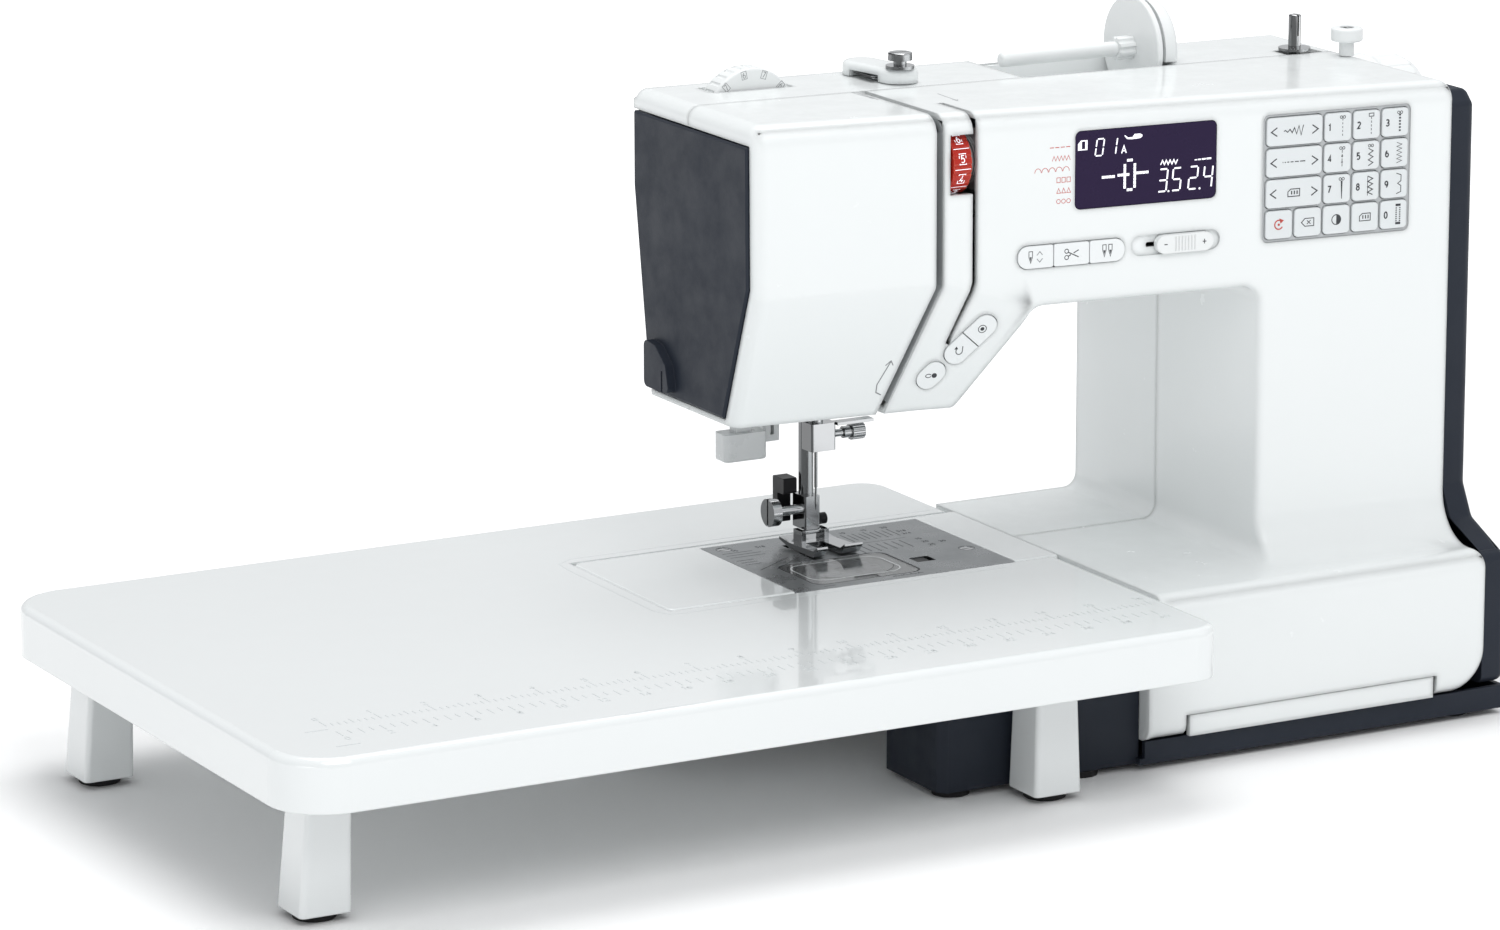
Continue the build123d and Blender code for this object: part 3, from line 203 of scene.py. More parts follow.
def noise(nt, co, scale, detail=3.0, rough=0.5):
    n = add(nt, "ShaderNodeTexNoise", Scale=scale, Detail=detail, Roughness=rough)
    lnk(nt, co, n.inputs["Vector"])
    return n.outputs["Fac"]


def remap(nt, fac, lo, hi, a=0.0, b=1.0):
    n = add(nt, "ShaderNodeMapRange")
    n.inputs["From Min"].default_value, n.inputs["From Max"].default_value = a, b
    n.inputs["To Min"].default_value, n.inputs["To Max"].default_value = lo, hi
    lnk(nt, fac, n.inputs["Value"])
    return n.outputs["Result"]


def mixc(nt, fac, a, b):
    n = add(nt, "ShaderNodeMix", data_type="RGBA")
    lnk(nt, fac, n.inputs["Factor"])
    for sock, v in ((n.inputs[6], a), (n.inputs[7], b)):
        if hasattr(v, "is_linked") or hasattr(v, "node"):
            lnk(nt, v, sock)
        else:
            sock.default_value = (*v, 1)
    return n.outputs[2]


def edge_mask(nt, radius):
    """1 on convex and concave edges, 0 on flats: how far a rounded normal leaves the true one."""
    b = add(nt, "ShaderNodeBevel", Radius=radius, samples=4)
    g = add(nt, "ShaderNodeNewGeometry")
    d = add(nt, "ShaderNodeVectorMath", operation="DOT_PRODUCT")
    lnk(nt, b.outputs["Normal"], d.inputs[0])
    lnk(nt, g.outputs["True Normal"], d.inputs[1])
    return remap(nt, d.outputs["Value"], 1.0, 0.0, 0.72, 0.995), b.outputs["Normal"]


def surface(name, color, rough, *, vary=0.04, metallic=0.0, grain=0.02, grain_scale=900.0, edge_tone=None, edge_r=0.0006,
            streak=None, coat=0.0, coat_rough=0.05, spec=0.5, sheen=0.0, sss=0.0, ior=1.5, trans=0.0, alpha=1.0,
            emit=None, rvary=0.25, round_r=0.0005, aniso=0.0, painted_reflection=0.0):
    """One finish: uneven colour and roughness, fine grain or brushing, and paler or darker edges."""
    m, nt, p = nodes_of(name)
    tc = add(nt, "ShaderNodeTexCoord")
    co = tc.outputs["Object"]
    big = noise(nt, co, 9.0, 4.0, 0.6)
    small = noise(nt, co, grain_scale, 2.0, 0.5)
    mid = noise(nt, co, 60.0, 5.0, 0.65)
    dark = tuple(c * (1 - vary) for c in color)
    col = mixc(nt, remap(nt, big, 0, 1, .3, .7), dark, color)
    if streak:
        mp = add(nt, "ShaderNodeMapping")
        mp.inputs["Scale"].default_value = streak
        lnk(nt, co, mp.inputs["Vector"])
        st = add(nt, "ShaderNodeTexNoise", Scale=1.0, Detail=4.0, Roughness=0.7)
        lnk(nt, mp.outputs["Vector"], st.inputs["Vector"])
        col2 = mixc(nt, remap(nt, st.outputs["Fac"], 0, 1, .35, .65), tuple(c * 0.84 for c in color), tuple(min(1, c * 1.1) for c in color))
        col = mixc(nt, remap(nt, big, .45, .8), col2, col)
    rounded = None
    # edges, convex and concave, in noisy patches: colour mixed toward the given edge colour, paler on most finishes
    # and darker on some
    if edge_tone:
        mask, rounded = edge_mask(nt, edge_r)
        edge_patches = add(nt, "ShaderNodeMath", operation="MULTIPLY")
        lnk(nt, mask, edge_patches.inputs[0])
        lnk(nt, remap(nt, mid, 0.15, 1.0, .35, .65), edge_patches.inputs[1])
        col = mixc(nt, edge_patches.outputs[0], col, edge_tone)
    if painted_reflection:
        # painted reflection on polished metal: base colour darker and lighter by the way the surface faces, standing
        # in for soft boxes and flags mirrored in it
        gg = add(nt, "ShaderNodeNewGeometry")
        sx = add(nt, "ShaderNodeSeparateXYZ")
        lnk(nt, gg.outputs["Normal"], sx.inputs[0])
        w1 = add(nt, "ShaderNodeMath", operation="MULTIPLY_ADD")
        lnk(nt, sx.outputs["X"], w1.inputs[0])
        w1.inputs[1].default_value = 4.6
        lnk(nt, sx.outputs["Y"], w1.inputs[2])
        w4 = add(nt, "ShaderNodeMath", operation="ADD")
        lnk(nt, w1.outputs[0], w4.inputs[0])
        w4.inputs[1].default_value = 1.9
        w2 = add(nt, "ShaderNodeMath", operation="SINE")
        lnk(nt, w4.outputs[0], w2.inputs[0])
        w3 = add(nt, "ShaderNodeMath", operation="MULTIPLY_ADD")
        lnk(nt, sx.outputs["Z"], w3.inputs[0])
        w3.inputs[1].default_value = 0.55
        lnk(nt, w2.outputs[0], w3.inputs[2])
        dk = tuple(c * (1 - painted_reflection) for c in color)
        col = mixc(nt, remap(nt, w3.outputs[0], 0, 1, -.55, .75), dk, col)
    lnk(nt, col, p.inputs["Base Color"])
    lnk(nt, remap(nt, mid, max(0.02, rough * (1 - rvary)), min(1, rough * (1 + rvary)), .3, .7), p.inputs["Roughness"])
    bmp = add(nt, "ShaderNodeBump", Strength=grain, Distance=0.0004)
    lnk(nt, (st.outputs["Fac"] if streak else small), bmp.inputs["Height"])
    if rounded is None and round_r:
        b = add(nt, "ShaderNodeBevel", Radius=round_r, samples=4)
        rounded = b.outputs["Normal"]
    if rounded is not None:
        lnk(nt, rounded, bmp.inputs["Normal"])
    lnk(nt, bmp.outputs["Normal"], p.inputs["Normal"])
    p.inputs["Metallic"].default_value = metallic
    p.inputs["Specular IOR Level"].default_value = spec
    p.inputs["IOR"].default_value = ior
    p.inputs["Coat Weight"].default_value = coat
    p.inputs["Coat Roughness"].default_value = coat_rough
    p.inputs["Sheen Weight"].default_value = sheen
    p.inputs["Subsurface Weight"].default_value = sss
    p.inputs["Subsurface Radius"].default_value = (0.004, 0.004, 0.004)
    p.inputs["Subsurface Scale"].default_value = 0.5
    p.inputs["Transmission Weight"].default_value = trans
    p.inputs["Alpha"].default_value = alpha
    if aniso:
        p.inputs["Anisotropic"].default_value = aniso
    if emit:
        p.inputs["Emission Color"].default_value = (*emit[:3], 1)
        p.inputs["Emission Strength"].default_value = emit[3]
    return m


WHITE = surface("moulded_white", (0.80, 0.825, 0.825), 0.22, vary=0.012, grain=0.010, grain_scale=700, coat=0.35, coat_rough=0.08, round_r=0.0045)
TABLEW = surface("table_white", (0.80, 0.825, 0.827), 0.14, vary=0.010, grain=0.006, grain_scale=700, coat=1.0, coat_rough=0.03, edge_tone=(0.84, 0.86, 0.862), edge_r=0.0010)
SATIN = surface("satin_white", (0.79, 0.81, 0.81), 0.36, vary=0.015, grain=0.02, grain_scale=1400, edge_tone=(0.86, 0.87, 0.87), edge_r=0.0005)
BUTTON = surface("button_white", (0.80, 0.825, 0.83), 0.32, vary=0.01, grain=0.02, grain_scale=1600, edge_tone=(0.72, 0.74, 0.75), edge_r=0.0004)
DARK = surface("anthracite_moulding", (0.0215, 0.0265, 0.038), 0.46, vary=0.10, grain=0.08, grain_scale=1500, edge_tone=(0.050, 0.058, 0.074), edge_r=0.0006, spec=0.16)
# chrome and turned steel carry a painted reflection: base colour darker and lighter by the way the surface faces
CHROME = surface("polished_chrome", (0.66, 0.67, 0.68), 0.12, vary=0.10, metallic=1.0, grain=0.01, grain_scale=2500, edge_tone=(0.90, 0.90, 0.90), edge_r=0.0002, painted_reflection=0.82)
STEEL = surface("turned_steel", (0.50, 0.51, 0.52), 0.22, painted_reflection=0.75, vary=0.08, metallic=1.0, grain=0.05, streak=(40, 2600, 2600), edge_tone=(0.8, 0.8, 0.8), edge_r=0.0004)
PLATE = surface("brushed_plate", (0.34, 0.355, 0.365), 0.30, vary=0.05, metallic=1.0, grain=0.06, streak=(18, 3200, 3200), edge_tone=(0.7, 0.71, 0.72), edge_r=0.0004, aniso=0.4)
CAST = surface("cast_alloy", (0.42, 0.43, 0.44), 0.48, vary=0.12, metallic=1.0, grain=0.25, grain_scale=420, edge_tone=(0.62, 0.62, 0.62), edge_r=0.0008)
MOTORC = surface("motor_can", (0.16, 0.165, 0.17), 0.38, vary=0.12, metallic=0.9, grain=0.08, grain_scale=900, edge_tone=(0.4, 0.4, 0.4))
BLACK = surface("black_moulding", (0.010, 0.010, 0.012), 0.34, vary=0.15, grain=0.06, grain_scale=1800, edge_tone=(0.035, 0.035, 0.04), edge_r=0.0003, spec=0.22)
RUBBER = surface("black_rubber", (0.014, 0.014, 0.015), 0.75, vary=0.2, grain=0.22, grain_scale=1300, edge_tone=(0.04, 0.04, 0.04), spec=0.3)
BELT = surface("belt_rubber", (0.02, 0.02, 0.021), 0.65, vary=0.2, grain=0.3, grain_scale=700, spec=0.3)
GREYLEV = surface("grey_translucent_lever", (0.60, 0.615, 0.62), 0.28, vary=0.05, grain=0.03, grain_scale=1200, edge_tone=(0.78, 0.79, 0.79), edge_r=0.0006, sss=0.25, coat=0.2)
MAT = surface("keypad_silicone", (0.46, 0.475, 0.485), 0.55, vary=0.05, grain=0.10, grain_scale=1500, edge_tone=(0.40, 0.42, 0.43), edge_r=0.0006, sss=0.15)
KEY = surface("key_silicone", (0.715, 0.745, 0.755), 0.50, vary=0.02, grain=0.08, grain_scale=1500, edge_tone=(0.62, 0.645, 0.655), edge_r=0.0007, sss=0.2)
LCDM = surface("display_glass", (0.022, 0.013, 0.045), 0.30, vary=0.05, grain=0.004, grain_scale=900, coat=0.0, coat_rough=0.04, spec=0.10, edge_tone=(0.006, 0.004, 0.012), edge_r=0.0008)
BOARD = surface("circuit_board", (0.02, 0.13, 0.05), 0.4, vary=0.2, grain=0.1, grain_scale=600, coat=0.3)
RED = surface("red_dial_acrylic", (0.48, 0.020, 0.010), 0.30, vary=0.25, grain=0.02, grain_scale=900, coat=0.12, spec=0.3, edge_tone=(0.9, 0.22, 0.12), edge_r=0.0007, sss=0.3)
CLEAR = surface("clear_acrylic", (0.90, 0.915, 0.92), 0.06, vary=0.02, grain=0.01, grain_scale=700, trans=0.92, ior=1.49, edge_tone=(0.97, 0.97, 0.97), edge_r=0.0005)
LAMP = surface("lamp_lens", (0.93, 0.94, 0.90), 0.15, vary=0.02, grain=0.05, grain_scale=900, trans=0.3, emit=(1.0, 0.96, 0.88, 0.35))
BOBBINM = surface("bobbin_plastic", (0.80, 0.82, 0.83), 0.12, vary=0.05, grain=0.02, trans=0.5, ior=1.49)
INK = surface("legend_ink", (0.035, 0.038, 0.045), 0.55, vary=0.25, grain=0.05, grain_scale=2500, round_r=0)
INKGREY = surface("legend_ink_grey", (0.24, 0.25, 0.26), 0.55, vary=0.1, grain=0.05, grain_scale=2500, round_r=0)
INKRED = surface("legend_ink_red", (0.52, 0.06, 0.045), 0.5, vary=0.12, grain=0.05, grain_scale=2500, round_r=0)
SEGMENT = surface("display_segments", (0.90, 0.90, 0.95), 0.5, vary=0.03, grain=0.03, grain_scale=3000, emit=(0.93, 0.93, 1.0, 0.55), round_r=0)
# dark etching and print; also painted shade for the rim line of the clear bobbin cover
ETCH_AND_SHADE = surface("etched_dark_and_painted_shade", (0.045, 0.05, 0.055), 0.6, vary=0.3, grain=0.2, grain_scale=3000, round_r=0, spec=0.2)
# raised white marks coloured a darker grey: painted shade that makes the relief read
RAISED_PAINTED_SHADE = surface("embossed_white_painted_shade", (0.69, 0.72, 0.725), 0.12, vary=0.02, grain=0.01, grain_scale=1200, coat=0.6, coat_rough=0.05, round_r=0)
# inner walls of the thread slots: white plastic coloured mid grey, painted shade for the recess
SLOT_WALL_SHADE = surface("inner_wall_painted_shade", (0.42, 0.44, 0.45), 0.6, vary=0.08, grain=0.05, grain_scale=800, round_r=0)

BY_NODE = {
    WHITE: ["head_cover", "front_cover", "rear_cover", "reference_card_tray", "thread_guide"],
    TABLEW: ["free_arm_cover", "extension_table", "table_leg_front_left", "table_leg_back_left",
             "table_leg_front_right", "table_leg_back_right"],
    SATIN: ["spool_holder", "spool_cap", "winder_stop", "pressure_dial", "speed_slider", "presser_lever", "carrying_handle", "drop_feed_lever", "handwheel"],
    BUTTON: ["arm_buttons", "sewing_buttons"],
    DARK: ["left_side_cover", "right_side_cover", "base_pan"],
    CHROME: ["needle_bar", "needle", "needle_clamp_screw", "presser_bar", "presser_foot", "pretension_stud", "winder_spindle", "screws", "take_up_lever"],
    STEEL: ["main_shaft", "lower_shaft", "rotary_hook", "winder_shifter", "motor_rotor", "feed_dog"],
    PLATE: ["needle_plate"],
    CAST: ["chassis"],
    MOTORC: ["motor"],
    BLACK: ["foot_release_lever", "bobbin_cover_latch", "bobbin_case", "power_inlet", "power_switch"],
    RUBBER: ["rubber_feet"],
    BELT: ["drive_belts"],
    GREYLEV: ["threader_lever", "buttonhole_lever"],
    MAT: ["keypad_mat"],
    KEY: ["keypad_keys"],
    LCDM: ["lcd_window"],
    BOARD: ["main_board"],
    RED: ["tension_dial"],
    CLEAR: ["bobbin_cover"],
    BOBBINM: ["bobbin"],
    LAMP: ["led_lamp"],
}
given = set()
for mat, names in BY_NODE.items():
    for n in names:
        N[n].data.materials.clear()
        N[n].data.materials.append(mat)
        given.add(n)
assert given == set(N), given ^ set(N)


def paint(node, *rules):
    """Gives faces of a CAD node another finish where a rule on their middle (mm, drawing frame) holds."""
    o = N[node]
    for mat, test in rules:
        o.data.materials.append(mat)
        k = len(o.data.materials) - 1
        for p in o.data.polygons:
            c = p.center
            if test(c.x * 1000 - DX, c.y * 1000 - DY, c.z * 1000):
                p.material_index = k


for leg in ("front_left", "back_left", "front_right", "back_right"):
    paint("table_leg_" + leg, (RUBBER, lambda x, y, z: z < 3.65))
paint("presser_bar", (BLACK, lambda x, y, z: x > 7.6 and z < 96), )

# ------------------------------------------------------------------ display
L0, L1, LZ0, LZ1 = -94.5, -23.1, 250.5, 286.5
LW, LH = L1 - L0, LZ1 - LZ0


def ls(s, t):
    return (L0 + s * LW, LZ1 - t * LH)


a = Art(ARM, -0.395, -0.35)
# page flag with its number cut out
x0, y0 = ls(.022, .25); x1, y1 = ls(.088, .125)
a.poly([(x0, y0), (x0 + 1.9, y0), (x0 + 1.9, y1), (x0 + 1.5, y1), (x0, y1 - 1.6)])
a.poly([(x0 + 1.9, y0), (x1, y0), (x1, y0 + .5), (x0 + 1.9, y0 + .5)])
a.poly([(x0 + 1.9, y1 - .5), (x1, y1 - .5), (x1, y1), (x0 + 1.9, y1)])
a.poly([(x1 - 1.1, y0 + .5), (x1, y0 + .5), (x1, y1 - .5), (x1 - 1.1, y1 - .5)])
for i, ch in enumerate("01"):
    x, y = ls(.142 + i * .092, .335)
    a.seven(ch, x, y, 7.6, 3.6, .62, .14)
# foot mark and its letter stand-in
x, y = ls(.345, .145)
a.poly([(x, y + 1.2), (x + 1.6, y - .4), (x + 4, y - .6), (x + 8, y - .4), (x + 9.1, y + .3), (x + 9.1, y + 1.1), (x + 8, y + 1.7), (x + 5.2, y + 1.7), (x + 4.2, y + .4), (x + 2, y + .3), (x + .5, y + 1.5)])
x, y = ls(.328, .33)
a.stroke([(x, y), (x + 1.15, y + 3.4), (x + 2.3, y)], .55)
a.stroke([(x + .42, y + 1.1), (x + 1.88, y + 1.1)], .5)
# the stitch
for s0, s1, t in ((.19, .283, .615), (.30, .385, .605), (.43, .52, .595)):
    p0, p1 = ls(s0, t), ls(s1, t)
    n_ = 4
    for i in range(n_):
        d = (p1[0] - p0[0]) / n_
        a.rect(p0[0] + i * d + .08, p0[1] - .6, p0[0] + (i + 1) * d - .08, p0[1] + .6)
for s in (.352, .422):
    p0 = ls(s, .47)
    for i in range(7):
        a.rect(p0[0] - .6, p0[1] - i * 1.62 - 1.46, p0[0] + .6, p0[1] - i * 1.62)
for t in (.425, .80):
    p0 = ls(.387, t)
    for i in (-1, 0):
        a.rect(p0[0] + i * 1.5 + .08, p0[1] - .6, p0[0] + (i + 1) * 1.5 - .08, p0[1] + .6)
# width and length
x, y = ls(.604, .525)
a.stroke([(x + i * .95, y + (2.1 if i % 2 else .2)) for i in range(10)], .5)
x, y = ls(.845, .50)
for w0, w1, h in ((0, 1.2, .5), (1.6, 3.2, .6), (3.6, 5.6, .7), (6.0, 8.4, .8)):
    a.rect(x + w0, y, x + w1, y + h)
for txt, s in (("3", .585), ("5", .683)):
    a.seven(txt, *ls(s, .86), 10.2, 4.2, .75, .09)
a.disc(*ls(.662, .862), .48, 12)
for txt, s in (("2", .80), ("4", .905)):
    a.seven(txt, *ls(s, .86), 10.2, 4.2, .75, .09)
a.disc(*ls(.882, .862), .48, 12)
a.done("display_segments", "machine", SEGMENT)

# mode marks beside the display, as small drawn stitches and shapes
a = Art(ARM, 0.0, 0.03)
rows = [LZ1 - t * LH for t in (.185, .325, .465, .60, .735, .87)]
xr = L0 - 2.4
a_w = .28
for i in range(4):
    a.rect(xr - 10.2 + i * 2.7, rows[0] - .2, xr - 8.2 + i * 2.7, rows[0] + .2)
a.stroke([(xr - 9 + i * .9, rows[1] + (1.1 if i % 2 else -1.1)) for i in range(11)], a_w)
for i in range(5):
    a.stroke(arc(xr - 16 + i * 3.5, rows[2] - .9, 1.6, 2.0, 180, 0, 8), a_w)
for i in range(3):
    a.stroke([(xr - 6.6 + i * 2.5, rows[3] - 1.1), (xr - 4.9 + i * 2.5, rows[3] - 1.1), (xr - 4.9 + i * 2.5, rows[3] + 1.1), (xr - 6.6 + i * 2.5, rows[3] + 1.1)], a_w, True)
    a.stroke([(xr - 6.6 + i * 2.5, rows[4] - 1.1), (xr - 4.7 + i * 2.5, rows[4] - 1.1), (xr - 5.65 + i * 2.5, rows[4] + 1.1)], a_w, True)
    a.circle(xr - 5.7 + i * 2.5, rows[5], .95, a_w, 18)
a.done("mode_marks", "machine", INKRED)

# ------------------------------------------------------------------ keypad legends
PAD = (0.5, 76.5, 227.4, 286.6)
kw = (76 - 3.2 - 4 * 1.3) / 5
kh = (PAD[3] - PAD[2] - 3.2 - 3 * 1.3) / 4


def key_c(col, row):
    return (PAD[0] + 1.6 + col * (kw + 1.3) + kw / 2, PAD[3] - 1.6 - row * (kh + 1.3) - kh / 2)


a = Art(ARM, 0.5, 0.53)
b = Art(ARM, 0.5, 0.53)
lw = .5
for row in range(3):
    cx = PAD[0] + 1.6 + kw + .65
    cy = key_c(0, row)[1]
    a.stroke([(cx - 9.0, cy + 2.0), (cx - 12.0, cy), (cx - 9.0, cy - 2.0)], .55)
    a.stroke([(cx + 9.0, cy + 2.0), (cx + 12.0, cy), (cx + 9.0, cy - 2.0)], .55)
cx, cy = PAD[0] + 1.6 + kw + .65, key_c(0, 0)[1]
pts, amp = [(cx - 5.6, cy)], [.4, .5, .8, .9, 1.4, 1.6, 2.2, 2.3, 2.4]
for i, h in enumerate(amp):
    pts.append((cx - 4.8 + i * 1.15, cy + (h if i % 2 == 0 else -h)))
a.stroke(pts, .42)
cy = key_c(0, 1)[1]
x = cx - 6
for w_ in (.4, .6, 1.0, 1.5, 2.0, 2.6):
    a.rect(x, cy - .22, x + w_, cy + .22)
    x += w_ + .7
cy = key_c(0, 2)[1]
a.stroke([(cx - 3, cy - 1.7), (cx + 3, cy - 1.7), (cx + 3, cy + 1.7), (cx - 1.6, cy + 1.7), (cx - 3, cy + .5)], .42, True)
for i in range(3):
    a.rect(cx - 1.4 + i * 1.4, cy - .8, cx - .8 + i * 1.4, cy + .9)


def stitch(art, k, cx, cy):
    """Small stitch pictures on the number keys."""
    def head(y):
        art.circle(cx - .75, y, .62, .3, 12)
        art.circle(cx + .75, y, .62, .3, 12)
    if k == 1:
        head(cy + 4.4)
        for i in range(5):
            art.rect(cx - .16, cy + 2.8 - i * 1.75, cx + .16, cy + 3.7 - i * 1.75)
    elif k == 2:
        art.stroke([(cx - 1.2, cy + 3.7), (cx + 1.2, cy + 3.7), (cx + 1.2, cy + 5.1), (cx - 1.2, cy + 5.1)], .35, True)
        for i in range(5):
            art.rect(cx - .16, cy + 2.4 - i * 1.75, cx + .16, cy + 3.4 - i * 1.75)
    elif k == 3:
        head(cy + 4.4)
        for i in range(6):
            art.rect(cx - .5, cy + 2.9 - i * 1.45, cx + .5, cy + 3.7 - i * 1.45)
    elif k == 4:
        head(cy + 4.4)
        for i in range(4):
            art.rect(cx - .16, cy + 2.2 - i * 2.1, cx + .16, cy + 3.7 - i * 2.1)
        art.rect(cx - .45, cy - 2.4, cx + .45, cy - 1.9)
        art.rect(cx - .45, cy + .4, cx + .45, cy + .9)
    elif k == 5:
        head(cy + 4.4)
        art.stroke([(cx + (1.2 if i % 2 else -1.2), cy + 3.2 - i * 1.35) for i in range(7)], .4)
    elif k == 6:
        art.stroke([(cx + (1.3 if i % 2 else -1.3), cy + 4.8 - i * .95) for i in range(11)], .3)
    elif k == 7:
        head(cy + 4.4)
        art.poly([(cx - .45, cy + 3.6), (cx + .45, cy + 3.6), (cx + .25, cy - 4.8), (cx - .05, cy - 4.8)])
    elif k == 8:
        art.stroke([(cx + (1.3 if i % 2 else -1.3), cy + 4.6 - i * 1.25) for i in range(8)], .45)
        art.stroke([(cx - 1.3, cy + 4.6), (cx - 1.3, cy - 4.4)], .3)
    elif k == 9:
        for s in (1, -1):
            art.stroke([(cx - 1.2, cy + s * 4.8), (cx + 1.2, cy + s * 3.9), (cx + 1.2, cy + s * 1.1), (cx - .6, cy)], .38)
    elif k == 0:
        art.rect(cx - 1.3, cy + 3.7, cx + 1.3, cy + 4.8)
        art.rect(cx - 1.3, cy - 4.8, cx + 1.3, cy - 3.7)
        for i in range(7):
            for s in (-1, 1):
                art.rect(cx + s * 1.3 - (.0 if s < 0 else .75), cy - 3.4 + i * 1.0, cx + s * 1.3 + (.75 if s < 0 else .0), cy - 2.85 + i * 1.0)


for k in range(1, 10):
    cx, cy = key_c(2 + (k - 1) % 3, (k - 1) // 3)
    a.text(str(k), cx - 4.7, cy - 1.5, 2.9, .62)
    stitch(a, k, cx + 2.4, cy)
cx, cy = key_c(4, 3)
a.text("0", cx - 4.7, cy - 1.5, 2.9, .62)
stitch(a, 0, cx + 2.4, cy)
cx, cy = key_c(2, 3)
a.circle(cx, cy, 2.3, .42, 24)
a.poly([(cx, cy - 2.1)] + arc(cx, cy, 2.1, 2.1, -90, 90, 12)[1:-1] + [(cx, cy + 2.1)])
cx, cy = key_c(1, 3)
a.stroke([(cx - 3.2, cy), (cx - 1.4, cy + 1.8), (cx + 3.2, cy + 1.8), (cx + 3.2, cy - 1.8), (cx - 1.4, cy - 1.8)], .4, True)
a.stroke([(cx - .3, cy + .85), (cx + 1.5, cy - .85)], .4)
a.stroke([(cx - .3, cy - .85), (cx + .42, cy - .17)], .4)
a.stroke([(cx + .78, cy + .17), (cx + 1.5, cy + .85)], .4)
cx, cy = key_c(3, 3)
a.stroke([(cx - 2.8, cy - 1.7), (cx + 2.8, cy - 1.7), (cx + 2.8, cy + 1.7), (cx - 1.4, cy + 1.7), (cx - 2.8, cy + .5)], .4, True)
for i in range(3):
    a.rect(cx - 1.3 + i * 1.35, cy - .8, cx - .75 + i * 1.35, cy + .9)
cx, cy = key_c(0, 3)
b.stroke(arc(cx, cy, 2.1, 2.1, 60, 330, 18), .6)
b.poly([(cx + .2, cy + 2.9), (cx + 2.6, cy + 1.9), (cx + .9, cy + .4)])
b.disc(cx, cy, .6, 14)
a.done("key_legends", "keys", INK)
b.done("key_legend_red", "keys", INKRED)

# ------------------------------------------------------------------ arm buttons and slider
AB0, AB1, ABZ = -123.0, -69.0, 230.8
AW = (AB1 - AB0 - .7 - .8) / 3
a = Art(ARM, 0.5, 0.53)
g = Art(ARM, 0.5, 0.53)


def needle_pic(art, cx, cy, w=.95, h=5.4):
    art.poly([(cx - w, cy + h * .5), (cx + w, cy + h * .5), (cx + w, cy + h * .06), (cx + w * .6, cy - h * .18), (cx, cy - h * .5), (cx - w * .6, cy - h * .18), (cx - w, cy + h * .06)])


cx = AB0 + .35 + AW / 2
a.stroke([(cx - 3.4, ABZ + 2.7), (cx - 1.6, ABZ + 2.7), (cx - 1.6, ABZ + .2), (cx - 2.5, ABZ - 2.6), (cx - 3.4, ABZ + .2)], .32, True)
a.poly([(cx - 3.0, ABZ + .2), (cx - 2.0, ABZ + .2), (cx - 2.5, ABZ - 1.9)])
g.stroke([(cx + .6, ABZ + .8), (cx + 2.0, ABZ + 2.4), (cx + 3.4, ABZ + .8)], .38)
g.stroke([(cx + .6, ABZ - .8), (cx + 2.0, ABZ - 2.4), (cx + 3.4, ABZ - .8)], .38)
cx += AW + .4
for s in (1, -1):
    a.circle(cx - 2.5, ABZ + s * 1.45, .95, .38, 16)
a.stroke([(cx - 1.75, ABZ + .95), (cx + .6, ABZ - .2), (cx + 3.5, ABZ - 1.6)], .48)
a.stroke([(cx - 1.75, ABZ - .95), (cx - .35, ABZ - .27)], .48)
a.stroke([(cx + .95, ABZ + .38), (cx + 3.5, ABZ + 1.6)], .48)
cx += AW + .4
for s in (-1.5, 1.5):
    a.stroke([(cx + s - .85, ABZ + 2.8), (cx + s + .85, ABZ + 2.8), (cx + s + .85, ABZ + .4), (cx + s, ABZ - 2.7), (cx + s - .85, ABZ + .4)], .34, True)
    a.poly([(cx + s - .5, ABZ + .3), (cx + s + .5, ABZ + .3), (cx + s, ABZ - 1.8)])
a.done("arm_button_legends", "arm_keys", INK)
g.done("arm_button_arrows", "arm_keys", INKGREY)
a = Art(ARM, 2.4, 2.43)
a.rect(-50.3, 231.3, -48.7, 231.75)
a.rect(-30.9, 231.3, -29.1, 231.75)
a.rect(-30.22, 231.75, -29.78, 232.6)
a.rect(-30.22, 230.45, -29.78, 231.3)
a.done("speed_marks", "speed", INK)

# ------------------------------------------------------------------ facet with the three sewing buttons
FB = Vector((12.0, front_y(12.0), 222.0))
FC = Vector((12.0, front_y(12.0) + 20.5, 160.5))
FD = Vector((57.0, front_y(57.0), 207.7))
fn = (FD - FB).cross(FC - FB).normalized()
if fn.y > 0:
    fn = -fn


def on_facet(x, z):
    return Vector((x, FB.y - (fn.x * (x - FB.x) + fn.z * (z - FB.z)) / fn.y, z))


fu = Vector((20, 0, 23.5))
fu = (fu - fn * fu.dot(fn)).normalized()
fv = fn.cross(fu)
PILL = Face(on_facet(29.1, 194.1), fu, fv)
SEC = Face(on_facet(13.6, 177.6), fu, fv)
# upright axes of the little pictures on the sloping pill
up = (Vector((0, 0, 1)) - fn * fn.z).normalized()
rt = up.cross(fn)
PILL_UP = Face(on_facet(29.1, 194.1), rt, up)
SEC_UP = Face(on_facet(13.6, 177.6), rt, up)


def pu(t):
    """Point at distance t along the pill, in its upright axes."""
    return (fu.dot(rt) * t, fu.dot(up) * t)


a = Art(PILL_UP, 0.5, 0.53)
cx, cy = pu(7.2)
a.circle(cx, cy, 1.9, .36, 22)
a.disc(cx, cy, .95, 16)
cx, cy = pu(-7.2)
a.stroke([(cx + 1.5, cy + 2.2), (cx + 1.5, cy - .4)] + arc(cx, cy - .4, 1.5, 1.5, 0, -180, 10)[1:] + [(cx - 1.5, cy + 1.0)], .42)
a.poly([(cx - 2.4, cy + .8), (cx - .6, cy + .8), (cx - 1.5, cy + 2.3)])
a.done("sewing_button_legends", "sewing_keys", INK)
a = Art(SEC_UP, 0.5, 0.53)
a.stroke(arc(-1.3, 0, 1.3, .9, 20, 340, 14), .36)
a.disc(1.5, 0, 1.25, 18)
a.done("securing_button_legend", "sewing_keys", INK)

